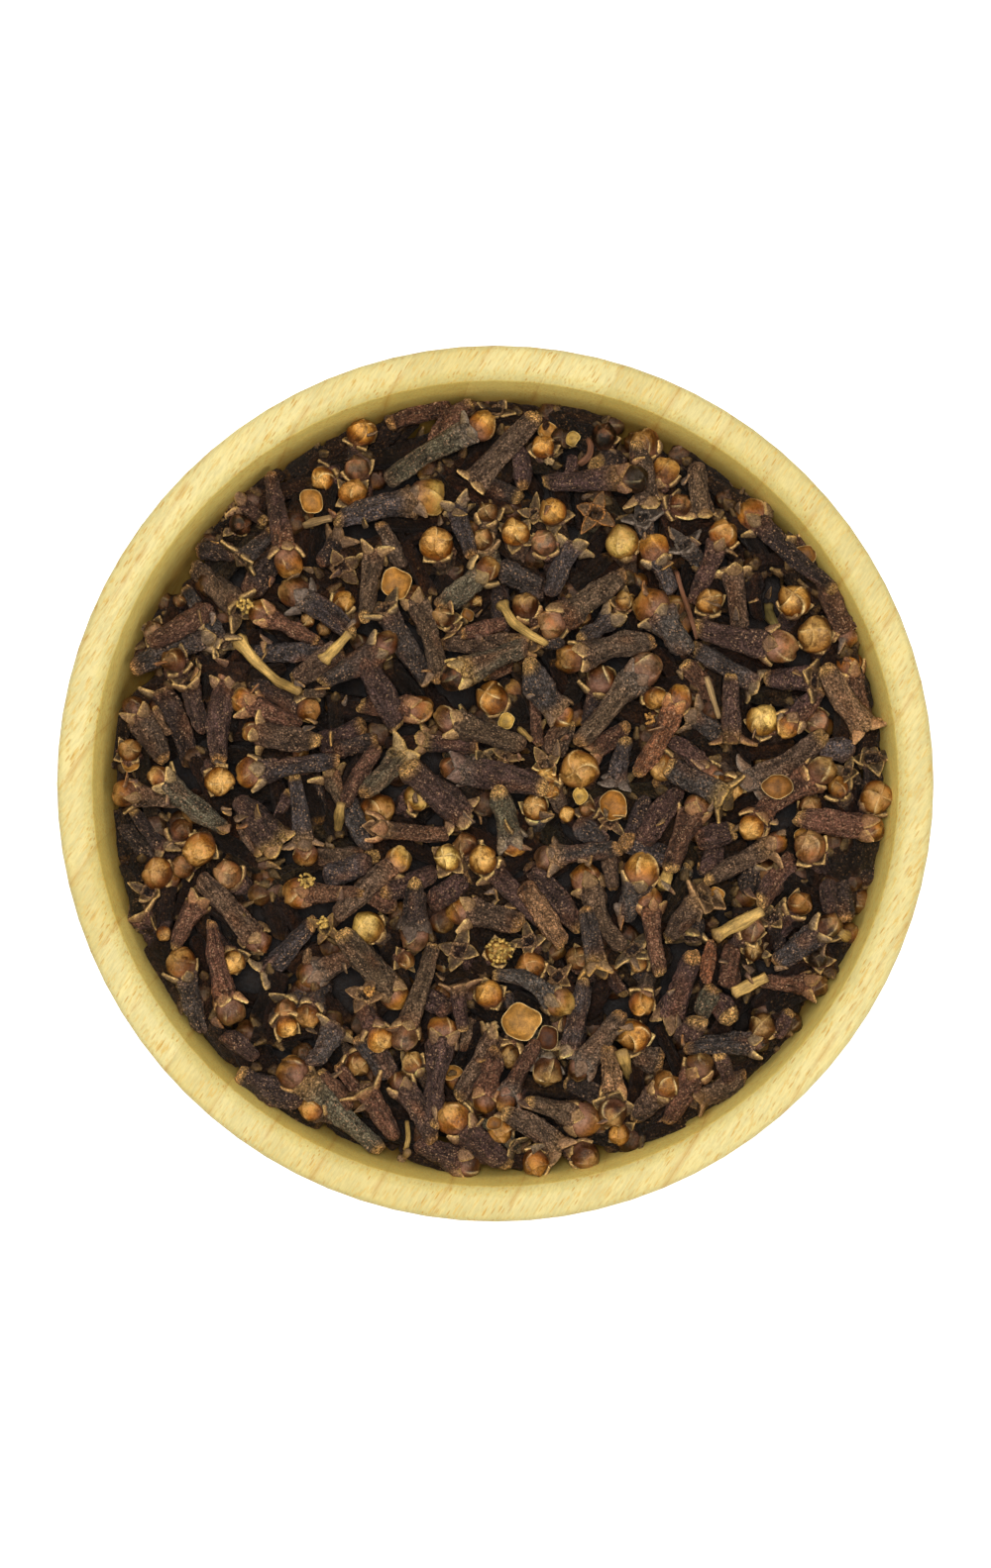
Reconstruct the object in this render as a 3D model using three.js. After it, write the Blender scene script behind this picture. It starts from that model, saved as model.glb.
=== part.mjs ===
// A turned bamboo bowl filled with whole cloves.
// Millimetres, +Z up, origin at the centre of the foot's underside.
// Two pieces: the bowl, and the heap of cloves as one solid out to its uneven outline.
import * as THREE from "three";

// ---------------------------------------------------------------- sizes
const SEGMENTS = 80; // facets round the bowl

// bowl, outside
const RIM_R = 63.0; // outer radius at the widest, just under the rim
const HEIGHT = 58.0;
const FOOT_R = 28.0; // flat foot
const FOOT_CHAMFER = 0.6;
const FOOT_NECK_R = 28.6; // where the foot runs into the belly
const BELLY_TOP_Z = 52.0; // above this the outer wall is upright
const BELLY_DEPTH = 53.0; // half height of the superellipse that the belly follows
const BELLY_POWER = 2.2;

// rim
const RIM_ROUND = 0.95; // outer rounding of the lip
const RIM_FLAT_R = 59.35; // inner end of the lip's flat top
const LIP_INNER_R = 58.1; // inner end of the lip's bevel
const LIP_BEVEL_DROP = 0.6;

// bowl, inside
const WELL_R = 57.85; // inner radius at the top of the wall
const WELL_TOP_Z = 57.0;
const WELL_FLOOR_Z = 8.0; // 8 mm of wood under the well
const WELL_POWER = 2.6;
const WELL_TAPER = 0.09; // share by which the wall closes in towards the floor

// heap of cloves
const GAP = 0.3; // between the heap and the wall
const HEAP_EDGE_Z = 49.2; // where the heap meets the wall
const HEAP_CROWN = 1.6; // how much its middle stands above its edge
const CLOVES = 230; // cloves lying on top
const CLOVE_HALF_LENGTH = 4.6;
const CLOVE_R = 1.5;
const HEAD_R = 2.2;
const HEAP_CELLS = 46; // cells across the heap's top
const HEAP_SIDE_STEPS = 4;

// ---------------------------------------------------------------- outlines
// half width of a superellipse, as a share, at a share of its depth
function belly(share, power) {
  const u = Math.min(1, Math.max(0, share));
  return Math.pow(1 - Math.pow(u, power), 1 / power);
}

// inner radius of the bowl at height z
function wellRadius(z) {
  const u = Math.min(1, Math.max(0, (WELL_TOP_Z - z) / (WELL_TOP_Z - WELL_FLOOR_Z)));
  return WELL_R * belly(u, WELL_POWER) * (1 - WELL_TAPER * u);
}

// outer radius of the bowl at height z, below the lip
function bellyRadius(z) {
  return RIM_R * belly((BELLY_TOP_Z - z) / BELLY_DEPTH, BELLY_POWER);
}

// height at which a radius function meets a radius, by halving
function heightAt(radiusOf, r, low, high) {
  for (let i = 0; i < 40; i++) {
    const middle = (low + high) / 2;
    if (radiusOf(middle) < r) low = middle;
    else high = middle;
  }
  return (low + high) / 2;
}

// points of the well's wall between two turns, in degrees, from the top (0) to the floor (90)
function wellPoints(from, to, steps, inset = 0) {
  const points = [];
  const depth = WELL_TOP_Z - WELL_FLOOR_Z;
  const at = (degrees) => {
    const u = Math.sin(THREE.MathUtils.degToRad(degrees));
    const z = WELL_TOP_Z - depth * Math.min(u, 0.9999);
    return new THREE.Vector2(wellRadius(z), z);
  };
  for (let i = 0; i <= steps; i++) {
    const degrees = from + ((to - from) * i) / steps;
    const here = at(degrees);
    // the inset moves the point square to the wall, into the well
    const along = at(Math.min(89.6, degrees + 0.2)).sub(at(Math.max(0, degrees - 0.2))).normalize();
    points.push(new THREE.Vector2(Math.max(0, here.x + inset * along.y), here.y - inset * along.x));
  }
  return points;
}

function arc(cx, cz, r, from, to, steps) {
  const points = [];
  for (let i = 0; i <= steps; i++) {
    const a = THREE.MathUtils.degToRad(from + ((to - from) * i) / steps);
    points.push(new THREE.Vector2(cx + r * Math.cos(a), cz + r * Math.sin(a)));
  }
  return points;
}

function bowlProfile() {
  const neck = heightAt(bellyRadius, FOOT_NECK_R, 0, BELLY_TOP_Z);
  const outline = [
    new THREE.Vector2(0, 0),
    new THREE.Vector2(FOOT_R - FOOT_CHAMFER, 0),
    new THREE.Vector2(FOOT_R, FOOT_CHAMFER),
    new THREE.Vector2(FOOT_R, neck - 0.7),
    new THREE.Vector2(FOOT_NECK_R, neck),
  ];
  // belly: from the foot out to the upright wall
  const steps = 9,
    start = Math.acos(Math.min(1, FOOT_NECK_R / RIM_R));
  for (let i = 1; i <= steps; i++) {
    const z = BELLY_TOP_Z - (BELLY_TOP_Z - neck) * (Math.sin(start * (1 - i / steps)) / Math.sin(start));
    outline.push(new THREE.Vector2(bellyRadius(z), z));
  }
  // lip: rounded outside, flat on top, a bevel and then the wall inside
  outline.push(...arc(RIM_R - RIM_ROUND, HEIGHT - RIM_ROUND, RIM_ROUND, 0, 90, 3));
  outline.push(new THREE.Vector2(RIM_FLAT_R, HEIGHT));
  outline.push(new THREE.Vector2(LIP_INNER_R, HEIGHT - LIP_BEVEL_DROP));
  outline.push(...wellPoints(0, 86, 10));
  outline.push(new THREE.Vector2(0, WELL_FLOOR_Z));
  return outline;
}

// ---------------------------------------------------------------- heap
// a repeatable stream of numbers from 0 to 1
function stream(seed) {
  let state = seed >>> 0;
  return () => {
    state = (Math.imul(state, 1664525) + 1013904223) >>> 0;
    return state / 4294967296;
  };
}

// cloves scattered evenly over the heap, each with its own heading and lie
function scatter() {
  const next = stream(41),
    golden = Math.PI * (3 - Math.sqrt(5));
  return Array.from({ length: CLOVES }, (_, i) => {
    const r = (wellRadius(HEAP_EDGE_Z) - 3.5) * Math.sqrt((i + 0.5) / CLOVES);
    const a = i * golden + 0.3 * next();
    const heading = next() * Math.PI * 2;
    return {
      x: r * Math.cos(a),
      y: r * Math.sin(a),
      dx: Math.cos(heading),
      dy: Math.sin(heading),
      tilt: (next() - 0.5) * 0.24,
      lift: -0.9 + 1.5 * next(),
    };
  });
}

function crown(r) {
  const share = Math.min(1, r / wellRadius(HEAP_EDGE_Z));
  return HEAP_EDGE_Z + HEAP_CROWN * (1 - share * share);
}

// height of the heap's top over (x, y): the highest clove there, or the hollow between cloves
function heapTop(x, y, cloves) {
  const ground = crown(Math.hypot(x, y));
  let top = ground - 1.4;
  for (const c of cloves) {
    const along = (x - c.x) * c.dx + (y - c.y) * c.dy;
    const held = THREE.MathUtils.clamp(along, -CLOVE_HALF_LENGTH, CLOVE_HALF_LENGTH);
    const off = Math.hypot(x - c.x - held * c.dx, y - c.y - held * c.dy);
    // the stem widens to the head at one end
    const radius = held > CLOVE_HALF_LENGTH * 0.55 ? HEAD_R : CLOVE_R;
    if (off < radius) {
      const lie = crown(Math.hypot(c.x, c.y)) + c.lift + held * c.tilt;
      top = Math.max(top, lie - radius * 0.35 + Math.sqrt(radius * radius - off * off));
    }
  }
  return top;
}

// a square grid laid over a disc with nearly even cells: a and b run from -1 to 1
function onDisc(a, b) {
  if (a === 0 && b === 0) return { r: 0, angle: 0 };
  return Math.abs(a) > Math.abs(b)
    ? { r: Math.abs(a), angle: (Math.PI / 4) * (b / a) + (a < 0 ? Math.PI : 0) }
    : { r: Math.abs(b), angle: Math.PI / 2 - (Math.PI / 4) * (a / b) + (b < 0 ? Math.PI : 0) };
}

function heapGeometry() {
  const cloves = scatter();
  const edge = wellRadius(HEAP_EDGE_Z) - GAP - 0.05;
  const places = [],
    faces = [];

  // top: the relief of the cloves, easing down to an even edge at the wall
  const at = (i, j) => j * (HEAP_CELLS + 1) + i;
  for (let j = 0; j <= HEAP_CELLS; j++) {
    for (let i = 0; i <= HEAP_CELLS; i++) {
      const { r: share, angle } = onDisc((2 * i) / HEAP_CELLS - 1, (2 * j) / HEAP_CELLS - 1);
      const x = edge * share * Math.cos(angle),
        y = edge * share * Math.sin(angle);
      const ease = THREE.MathUtils.clamp((edge * (1 - share)) / 2.5, 0, 1);
      places.push(x, y, THREE.MathUtils.lerp(HEAP_EDGE_Z - 0.6, heapTop(x, y, cloves), ease));
    }
  }
  for (let j = 0; j < HEAP_CELLS; j++) {
    for (let i = 0; i < HEAP_CELLS; i++) {
      const [p, q, s, t] = [at(i, j), at(i + 1, j), at(i + 1, j + 1), at(i, j + 1)];
      // the diagonal follows the shorter step in height
      if (Math.abs(places[3 * p + 2] - places[3 * s + 2]) < Math.abs(places[3 * q + 2] - places[3 * t + 2]))
        faces.push(p, q, s, p, s, t);
      else faces.push(p, q, t, q, s, t);
    }
  }

  // the rim of the grid, in order round the heap
  const rim = [];
  for (let i = 0; i < HEAP_CELLS; i++) rim.push(at(i, 0));
  for (let j = 0; j < HEAP_CELLS; j++) rim.push(at(HEAP_CELLS, j));
  for (let i = HEAP_CELLS; i > 0; i--) rim.push(at(i, HEAP_CELLS));
  for (let j = HEAP_CELLS; j > 0; j--) rim.push(at(0, j));

  // side: follows the well's wall down to the floor
  const edgeDegrees = THREE.MathUtils.radToDeg(
    Math.asin((WELL_TOP_Z - HEAP_EDGE_Z + 0.6) / (WELL_TOP_Z - WELL_FLOOR_Z)),
  );
  const levels = wellPoints(edgeDegrees, 78, HEAP_SIDE_STEPS, GAP + 0.08).slice(1);
  let above = rim;
  for (const level of levels) {
    const ring = rim.map((k) => {
      const angle = Math.atan2(places[3 * k + 1], places[3 * k]);
      places.push(level.x * Math.cos(angle), level.x * Math.sin(angle), level.y);
      return places.length / 3 - 1;
    });
    ring.forEach((k, i) => {
      const n = (i + 1) % ring.length;
      faces.push(above[i], k, ring[n], above[i], ring[n], above[n]);
    });
    above = ring;
  }
  places.push(0, 0, WELL_FLOOR_Z + GAP + 0.1);
  const floor = places.length / 3 - 1;
  above.forEach((k, i) => faces.push(k, floor, above[(i + 1) % above.length]));

  const geometry = new THREE.BufferGeometry();
  geometry.setAttribute("position", new THREE.Float32BufferAttribute(places, 3));
  geometry.setIndex(faces);
  geometry.computeVertexNormals();
  return geometry;
}

// ---------------------------------------------------------------- model
const wood = new THREE.MeshStandardMaterial({ color: 0xe2cb84, roughness: 0.5, metalness: 0 });
const spice = new THREE.MeshStandardMaterial({ color: 0x4a3428, roughness: 0.85, metalness: 0 });

const bowlGeometry = new THREE.LatheGeometry(bowlProfile(), SEGMENTS);
bowlGeometry.rotateX(Math.PI / 2);
const bowl = new THREE.Mesh(bowlGeometry, wood);
bowl.name = "bowl";

const cloves = new THREE.Mesh(heapGeometry(), spice);
cloves.name = "cloves";

const model = new THREE.Group();
model.name = "bowl_of_cloves";
model.add(bowl, cloves);

export default model;
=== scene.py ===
import math

import bpy
import numpy as np
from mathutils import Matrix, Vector


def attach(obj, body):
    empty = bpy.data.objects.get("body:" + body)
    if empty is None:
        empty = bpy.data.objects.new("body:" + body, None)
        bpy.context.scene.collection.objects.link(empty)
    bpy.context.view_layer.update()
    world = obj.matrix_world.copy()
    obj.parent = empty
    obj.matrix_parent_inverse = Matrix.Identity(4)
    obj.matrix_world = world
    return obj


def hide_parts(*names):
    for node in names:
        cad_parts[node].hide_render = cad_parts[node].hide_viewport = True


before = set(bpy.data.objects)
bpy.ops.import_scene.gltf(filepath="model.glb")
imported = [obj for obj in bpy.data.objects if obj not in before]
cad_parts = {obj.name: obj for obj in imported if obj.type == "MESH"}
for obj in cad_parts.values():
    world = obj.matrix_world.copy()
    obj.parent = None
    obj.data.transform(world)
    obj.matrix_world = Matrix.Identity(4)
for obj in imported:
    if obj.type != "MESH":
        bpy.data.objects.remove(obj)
bpy.context.view_layer.update()

MM = 0.001
PX = 0.14253  # mm in one pixel of the 1000 x 1583 picture, at the height of the rim
CENTRE = (499.8, 791.1)  # the bowl's axis in that picture
RIM_Z = 58.0
EYE_Z = 658.0  # the camera's height over the table
WELL_R, WELL_TOP_Z, WELL_FLOOR_Z, WELL_POWER, WELL_TAPER = 57.85, 57.0, 8.0, 2.6, 0.09
RNG = np.random.default_rng(20240613)


def well_radius(z):
    """Inner radius of the bowl at height z, in mm."""
    u = np.clip((WELL_TOP_Z - np.asarray(z, float)) / (WELL_TOP_Z - WELL_FLOOR_Z), 0, 0.999)
    return WELL_R * (1 - u**WELL_POWER) ** (1 / WELL_POWER) * (1 - WELL_TAPER * u)


def linear(rgb, gain=1.0):
    out = []
    for c in rgb:
        c = c / 255.0
        out.append(gain * (c / 12.92 if c <= 0.04045 else ((c + 0.055) / 1.055) ** 2.4))
    return np.array(out)


# ---------------------------------------------------------------- colours
STEM = {
    "p": (102, 77, 71), "d": (72, 60, 56), "s": (93, 85, 83), "r": (131, 92, 72),
    "R": (167, 110, 74), "o": (126, 116, 94), "t": (170, 131, 95), "b": (119, 96, 77),
}
BUD = {
    "g": (208, 148, 65), "o": (162, 109, 46), "r": (102, 59, 26), "b": (117, 80, 39),
    "p": (134, 106, 84), "y": (222, 182, 92), "c": (226, 196, 124), "l": (126, 109, 57),
    "t": (178, 132, 68), "m": (192, 149, 99), "O": (186, 126, 49), "G": (214, 158, 74),
    "D": (40, 28, 21), "s": (92, 77, 61), "d": (70, 48, 31),
}
CALYX = {
    "s": (132, 118, 104), "t": (176, 136, 90), "y": (206, 164, 92), "o": (166, 124, 70),
    "g": (206, 156, 80), "O": (190, 126, 62), "c": (216, 188, 132),
}
PATCH = (116, 68, 38)
CREAM = (228, 198, 134)
TAN = (202, 148, 86)
STRAW = (206, 162, 88)
CUT = (228, 176, 104)


# ---------------------------------------------------------------- numeric helpers
def _hash(i, j, k, seed):
    h = (i * 374761393 + j * 668265263 + k * 1440662683 + seed * 974711) & 0xFFFFFFFF
    h = ((h ^ (h >> 13)) * 1274126177) & 0xFFFFFFFF
    return ((h ^ (h >> 16)) & 0xFFFF) / 65535.0


def noise(p, seed=0):
    """Smooth value noise from -1 to 1 at points p (..., 3)."""
    q = np.floor(p).astype(np.int64)
    f = p - q
    f = f * f * (3 - 2 * f)
    out = 0.0
    for a in (0, 1):
        wa = f[..., 0] if a else 1 - f[..., 0]
        for b in (0, 1):
            wb = wa * (f[..., 1] if b else 1 - f[..., 1])
            for c in (0, 1):
                w = wb * (f[..., 2] if c else 1 - f[..., 2])
                out = out + w * _hash(q[..., 0] + a, q[..., 1] + b, q[..., 2] + c, seed)
    return out * 2 - 1


def smooth(a, b, x):
    t = np.clip((np.asarray(x, float) - a) / (b - a), 0, 1)
    return t * t * (3 - 2 * t)


def unit(v):
    v = np.asarray(v, float)
    return v / max(np.linalg.norm(v), 1e-9)


def side_frame(axis, roll):
    """Two directions across axis, turned by roll, with X x Y = axis."""
    up = np.array([0.0, 0.0, 1.0]) if abs(axis[2]) < 0.93 else np.array([0.0, 1.0, 0.0])
    x = unit(np.cross(up, axis))
    y = np.cross(axis, x)
    c, s = math.cos(roll), math.sin(roll)
    return x * c + y * s, y * c - x * s


# ---------------------------------------------------------------- joined meshes
class Kind:
    """All the things of one kind, joined in one mesh of closed tubes."""

    def __init__(self, name, cell=1.0):
        self.name, self.cell = name, cell
        self.v, self.t, self.uv, self.item = [], [], [], []
        self.col, self.col2, self.loc, self.aux = [], [], [], []
        self.count, self.items = 0, 0

    def tube(self, p, pole0, pole1, col, loc, col2=None, aux=None):
        """p: rows x columns x 3, closed round the columns, with a point at each end."""
        rows, cols = p.shape[:2]
        n = rows * cols
        base = self.count
        pts = np.concatenate([[pole0], p.reshape(-1, 3), [pole1]])

        def full(a, width):
            a = np.asarray(a, float)
            if a.ndim == 1:
                return np.tile(a, (n + 2, 1))
            body = a.reshape(-1, width)
            return np.concatenate([[a[0].mean(0)], body, [a[-1].mean(0)]])

        self.v.append(pts)
        self.col.append(full(col, 3))
        self.col2.append(full(col if col2 is None else col2, 3))
        self.loc.append(full(loc, 3))
        self.aux.append(full((0.0, 0.0, 0.0) if aux is None else aux, 3))
        j = np.arange(cols)
        i = np.arange(rows - 1)
        jj, ii = np.meshgrid(j, i)
        jj, ii = jj.ravel(), ii.ravel()

        def idx(i_, j_):
            return base + 1 + i_ * cols + j_ % cols

        a, b = np.stack([ii, jj], 1), np.stack([ii, jj + 1], 1)
        c, d = np.stack([ii + 1, jj + 1], 1), np.stack([ii + 1, jj], 1)
        corners = np.concatenate([np.stack([a, b, c], 1), np.stack([a, c, d], 1)])
        tris = idx(corners[..., 0], corners[..., 1])
        uv = np.stack([corners[..., 1] / cols, (corners[..., 0] + 1) / (rows + 1)], -1)
        zero, last = np.zeros(cols, int), np.full(cols, rows - 1)
        fan0 = np.stack([np.full(cols, base), idx(zero, j + 1), idx(zero, j)], 1)
        fan1 = np.stack([np.full(cols, base + n + 1), idx(last, j), idx(last, j + 1)], 1)
        r0, r1, r2 = 0.0, 1 / (rows + 1), rows / (rows + 1)
        uv0 = np.stack([np.stack([(j + 0.5) / cols, np.full(cols, r0)], 1), np.stack([(j + 1) / cols, np.full(cols, r1)], 1), np.stack([j / cols, np.full(cols, r1)], 1)], 1)
        uv1 = np.stack([np.stack([(j + 0.5) / cols, np.full(cols, 1.0)], 1), np.stack([j / cols, np.full(cols, r2)], 1), np.stack([(j + 1) / cols, np.full(cols, r2)], 1)], 1)
        self.t.append(np.concatenate([tris, fan0, fan1]))
        self.uv.append(np.concatenate([uv, uv0, uv1]))
        self.item.append(np.full(len(tris) + 2 * cols, self.items))
        self.count += n + 2
        self.items += 1

    def build(self, materials):
        v = np.concatenate(self.v) * MM
        t = np.concatenate(self.t).astype(np.int32)
        uv = np.concatenate(self.uv)
        item = np.concatenate(self.item)
        across = max(1, math.ceil(math.sqrt(self.items / self.cell)))
        down = math.ceil(self.items / across)
        gap = 0.04
        u = (item[:, None] % across + gap + uv[..., 0] * (1 - 2 * gap)) / across
        w = (item[:, None] // across + gap + uv[..., 1] * (1 - 2 * gap)) / down
        me = bpy.data.meshes.new(self.name)
        me.vertices.add(len(v))
        me.vertices.foreach_set("co", v.astype(np.float32).ravel())
        me.loops.add(len(t) * 3)
        me.loops.foreach_set("vertex_index", t.ravel())
        me.polygons.add(len(t))
        me.polygons.foreach_set("loop_start", np.arange(0, len(t) * 3, 3, dtype=np.int32))
        me.polygons.foreach_set("use_smooth", np.ones(len(t), bool))
        me.update(calc_edges=True)
        layer = me.uv_layers.new(name="OFBake")
        layer.uv.foreach_set("vector", np.stack([u, w], -1).astype(np.float32).ravel())
        near_wall = 1 - 0.15 * smooth(46.0, 55.0, np.hypot(v[:, 0], v[:, 1]) / MM)  # painted shade along the wall
        for name, data in (("tint", self.col), ("tint2", self.col2)):
            a = me.attributes.new(name, "FLOAT_COLOR", "POINT")
            rgb = np.concatenate(data) * near_wall[:, None]
            a.data.foreach_set("color", np.concatenate([np.clip(rgb, 0, 1), np.ones((len(rgb), 1))], 1).astype(np.float32).ravel())
        for name, data in (("grain", self.loc), ("marks", self.aux)):
            a = me.attributes.new(name, "FLOAT_VECTOR", "POINT")
            a.data.foreach_set("vector", np.concatenate(data).astype(np.float32).ravel())
        me.validate()
        ob = bpy.data.objects.new(self.name, me)
        bpy.context.scene.collection.objects.link(ob)
        for m in materials:
            me.materials.append(m)
        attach(ob, "root")
        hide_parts("cloves")
        print("KIND", self.name, len(t), "triangles,", self.items, "things")
        return ob


# ---------------------------------------------------------------- the shapes of one clove
def ring(n, turn=0.0):
    th = np.arange(n) / n * 2 * math.pi + turn
    return np.cos(th), np.sin(th)


def make_stem(kind, s, h, w, tone, top=None, roll=0.0, hollow=False, cut=False, bare=False, cols=26, rows=14, flare=1.0, rng=RNG):
    """A clove's stem from its narrower foot s to its head h, w wide. Returns the calyx's frame."""
    s, h = np.asarray(s, float), np.asarray(h, float)
    length = max(np.linalg.norm(h - s), 0.8)
    axis = unit(h - s)
    x, y = side_frame(axis, roll)
    r = w / 2 * 1.03
    turn = min(0.46 * r, 0.2 * length) / length  # share of the length over which an end rounds off
    last = min(0.93, 1 - 1.25 * turn) if bare else 0.93
    body = np.linspace(turn * 1.35 + 0.02, last, rows)
    if cut:
        prof = [(0.012, 0.26), (0.0, 0.48), (0.0, 0.64), (turn * 0.45, 0.84), (turn, 0.95)]
    else:
        prof = [(0.0, 0.22), (turn * 0.15, 0.52), (turn * 0.45, 0.80), (turn, 0.97)]
    prof += [(t, 1.0) for t in body]
    if bare:
        prof += [(1 - turn * 0.9, 0.96), (1 - turn * 0.3, 0.78), (1.0, 0.50), (0.992, 0.22)]
    elif hollow:
        prof += [(0.985, 1.02), (1.0, 0.93), (0.995, 0.76), (0.95, 0.62), (0.87, 0.46)]
    else:
        prof += [(0.985, 1.0), (1.0, 0.86), (1.0, 0.5)]
    prof = np.array(prof)
    t, k = prof[:, 0], prof[:, 1]
    foot, waist = (rng.uniform(0.70, 0.92), 1.0) if bare else (rng.uniform(0.58, 0.80), rng.uniform(0.84, 0.97))
    top_f = rng.uniform(0.84, 1.0) if bare else 1.06 * flare
    shape = foot + (waist - foot) * smooth(-0.08, 0.45, t) + (top_f - waist) * smooth(0.55, 0.96, t)
    shape = shape * (1 + 0.055 * np.sin(t * rng.uniform(5, 11) + rng.uniform(0, 6)))
    n = len(prof)
    cx, cy = ring(cols)
    th = np.arange(cols) / cols * 2 * math.pi
    off = rng.uniform(0, 90, 3)
    a = (t * length)[:, None] * np.ones(cols)
    px, py = np.tile(cx, (n, 1)), np.tile(cy, (n, 1))
    lump = noise(np.stack([px * 0.9, py * 0.9, a * 0.28], -1) + off, 3)
    ridge = noise(np.stack([px * 2.3, py * 2.3, a * 0.22], -1) + off, 7)
    fine = noise(np.stack([px * r * 2.1, py * r * 2.1, a * 1.5], -1) + off, 11)
    grit = noise(np.stack([px * r * 3.6, py * r * 3.6, a * 2.6], -1) + off, 19)
    square = (0.045 + 0.065 * smooth(0.5, 1.0, t))[:, None] * np.cos(4 * (th[None] - math.pi / 4))
    depth = min(1.0, r / 1.3)
    bump = 0.13 * lump - 0.34 * np.abs(ridge) + 0.10 * fine * depth + 0.09 * grit * depth + 0.11
    rad = r * (shape * k)[:, None] * (1 + bump + square)
    flat = rng.uniform(0.86, 1.0)
    bend = rng.normal(0, 0.04) * length
    ba = rng.uniform(0, 2 * math.pi)
    arc = np.sin(np.clip(t, 0, 1) * math.pi) * bend
    off2 = np.stack([arc * math.cos(ba), arc * math.sin(ba)], 1)
    ends = (k < 0.99) & (t < 0.5)
    slope = rng.normal(0, 0.28, 2) * r
    shear = (px * slope[0] + py * slope[1]) * k[:, None] * (ends | (bare & (t > 0.5) & (k < 0.99)))[:, None]
    along = a + shear * 0.6 + np.where(ends[:, None], 0.16 * noise(np.stack([px, py, a], -1) * 1.6 + off, 23), 0)
    pts = (
        s
        + along[..., None] * axis
        + (rad * px + off2[:, :1])[..., None] * x
        + (rad * flat * py + off2[:, 1:])[..., None] * y
    )
    base = linear(STEM[tone], 1.0)
    hue = 1 + 0.22 * rng.uniform(-1, 1)
    tint = np.array([rng.uniform(0.98, 1.10), 1.0, rng.uniform(0.86, 1.02)])
    col = np.ones((n, cols, 3)) * base * hue * tint
    blotch = noise(np.stack([px * 1.2, py * 1.2, a * 0.34], -1) + off + 31, 5)
    col = col * (1 + 0.30 * blotch[..., None])
    warm = linear((150, 96, 60))
    wm = np.clip(noise(np.stack([px * 0.8, py * 0.8, a * 0.25], -1) + off + 57, 9) - 0.25, 0, 1)[..., None] * 0.9
    neck = (smooth(0.74, 1.0, t) * rng.uniform(0.0, 0.55) + smooth(0.16, 0.0, t) * rng.uniform(0.0, 0.6))[:, None, None]
    wm = np.clip(wm + neck, 0, 0.85)
    col = col * (1 - wm) + warm * wm
    # painted shade: darker in the lengthwise grooves
    col = col * (1 - 0.75 * np.clip(np.abs(ridge) - 0.12, 0, 1))[..., None] * (1 + 0.20 * grit[..., None])
    if top is not None:
        m = smooth(0.70, 0.98, t)[:, None, None] * 0.75
        col = col * (1 - m) + linear(CALYX[top]) * m
    if hollow:
        rim = ((k > 0.7) & (t > 0.97))[:, None, None] * 0.6
        col = col * (1 - rim) + linear(CALYX[top or "t"]) * 1.05 * rim
        # painted shade: the hollow inside the open calyx is made much darker
        col[(k < 0.7) & (t > 0.8)] *= 0.25
    if cut:
        face = (((k < 0.9) & (t < 0.1)) * 0.92 + (np.arange(n) == 4) * 0.30)[:, None, None]
        fresh = rng.random() < 0.6
        col = col * (1 - face) + linear(CUT if fresh else TAN, rng.uniform(0.8, 1.3)) * face
        col[(k < 0.3) & (t < 0.1)] *= 0.8
        ringm = (np.arange(n) == 5)[:, None, None] * 0.40
        col = col * (1 - ringm)
    if bare:
        end = ((k < 0.6) & (t > 0.9))[:, None, None] * rng.choice([0.0, 0.6])
        col = col * (1 - end) + linear(TAN, 0.8) * end
    loc = np.stack([px * r, py * r, along], -1) + off
    if abs(turn) > 0:  # over the rounded ends the grain runs on across the face
        loc[..., 0] = off[0] + px * r * np.maximum(k, 0.2)[:, None]
        loc[..., 1] = off[1] + py * r * np.maximum(k, 0.2)[:, None]
    p0 = pts[0].mean(0) + axis * 0.01 * length * rng.uniform(0, 1)
    p1 = pts[-1].mean(0) - (axis * min(0.9, 0.1 * length) if hollow else axis * 0.02)
    kind.tube(pts, p0, p1, col, loc)
    return dict(top=h, axis=axis, x=x, y=y, r=r * top_f * 1.0)


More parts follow.
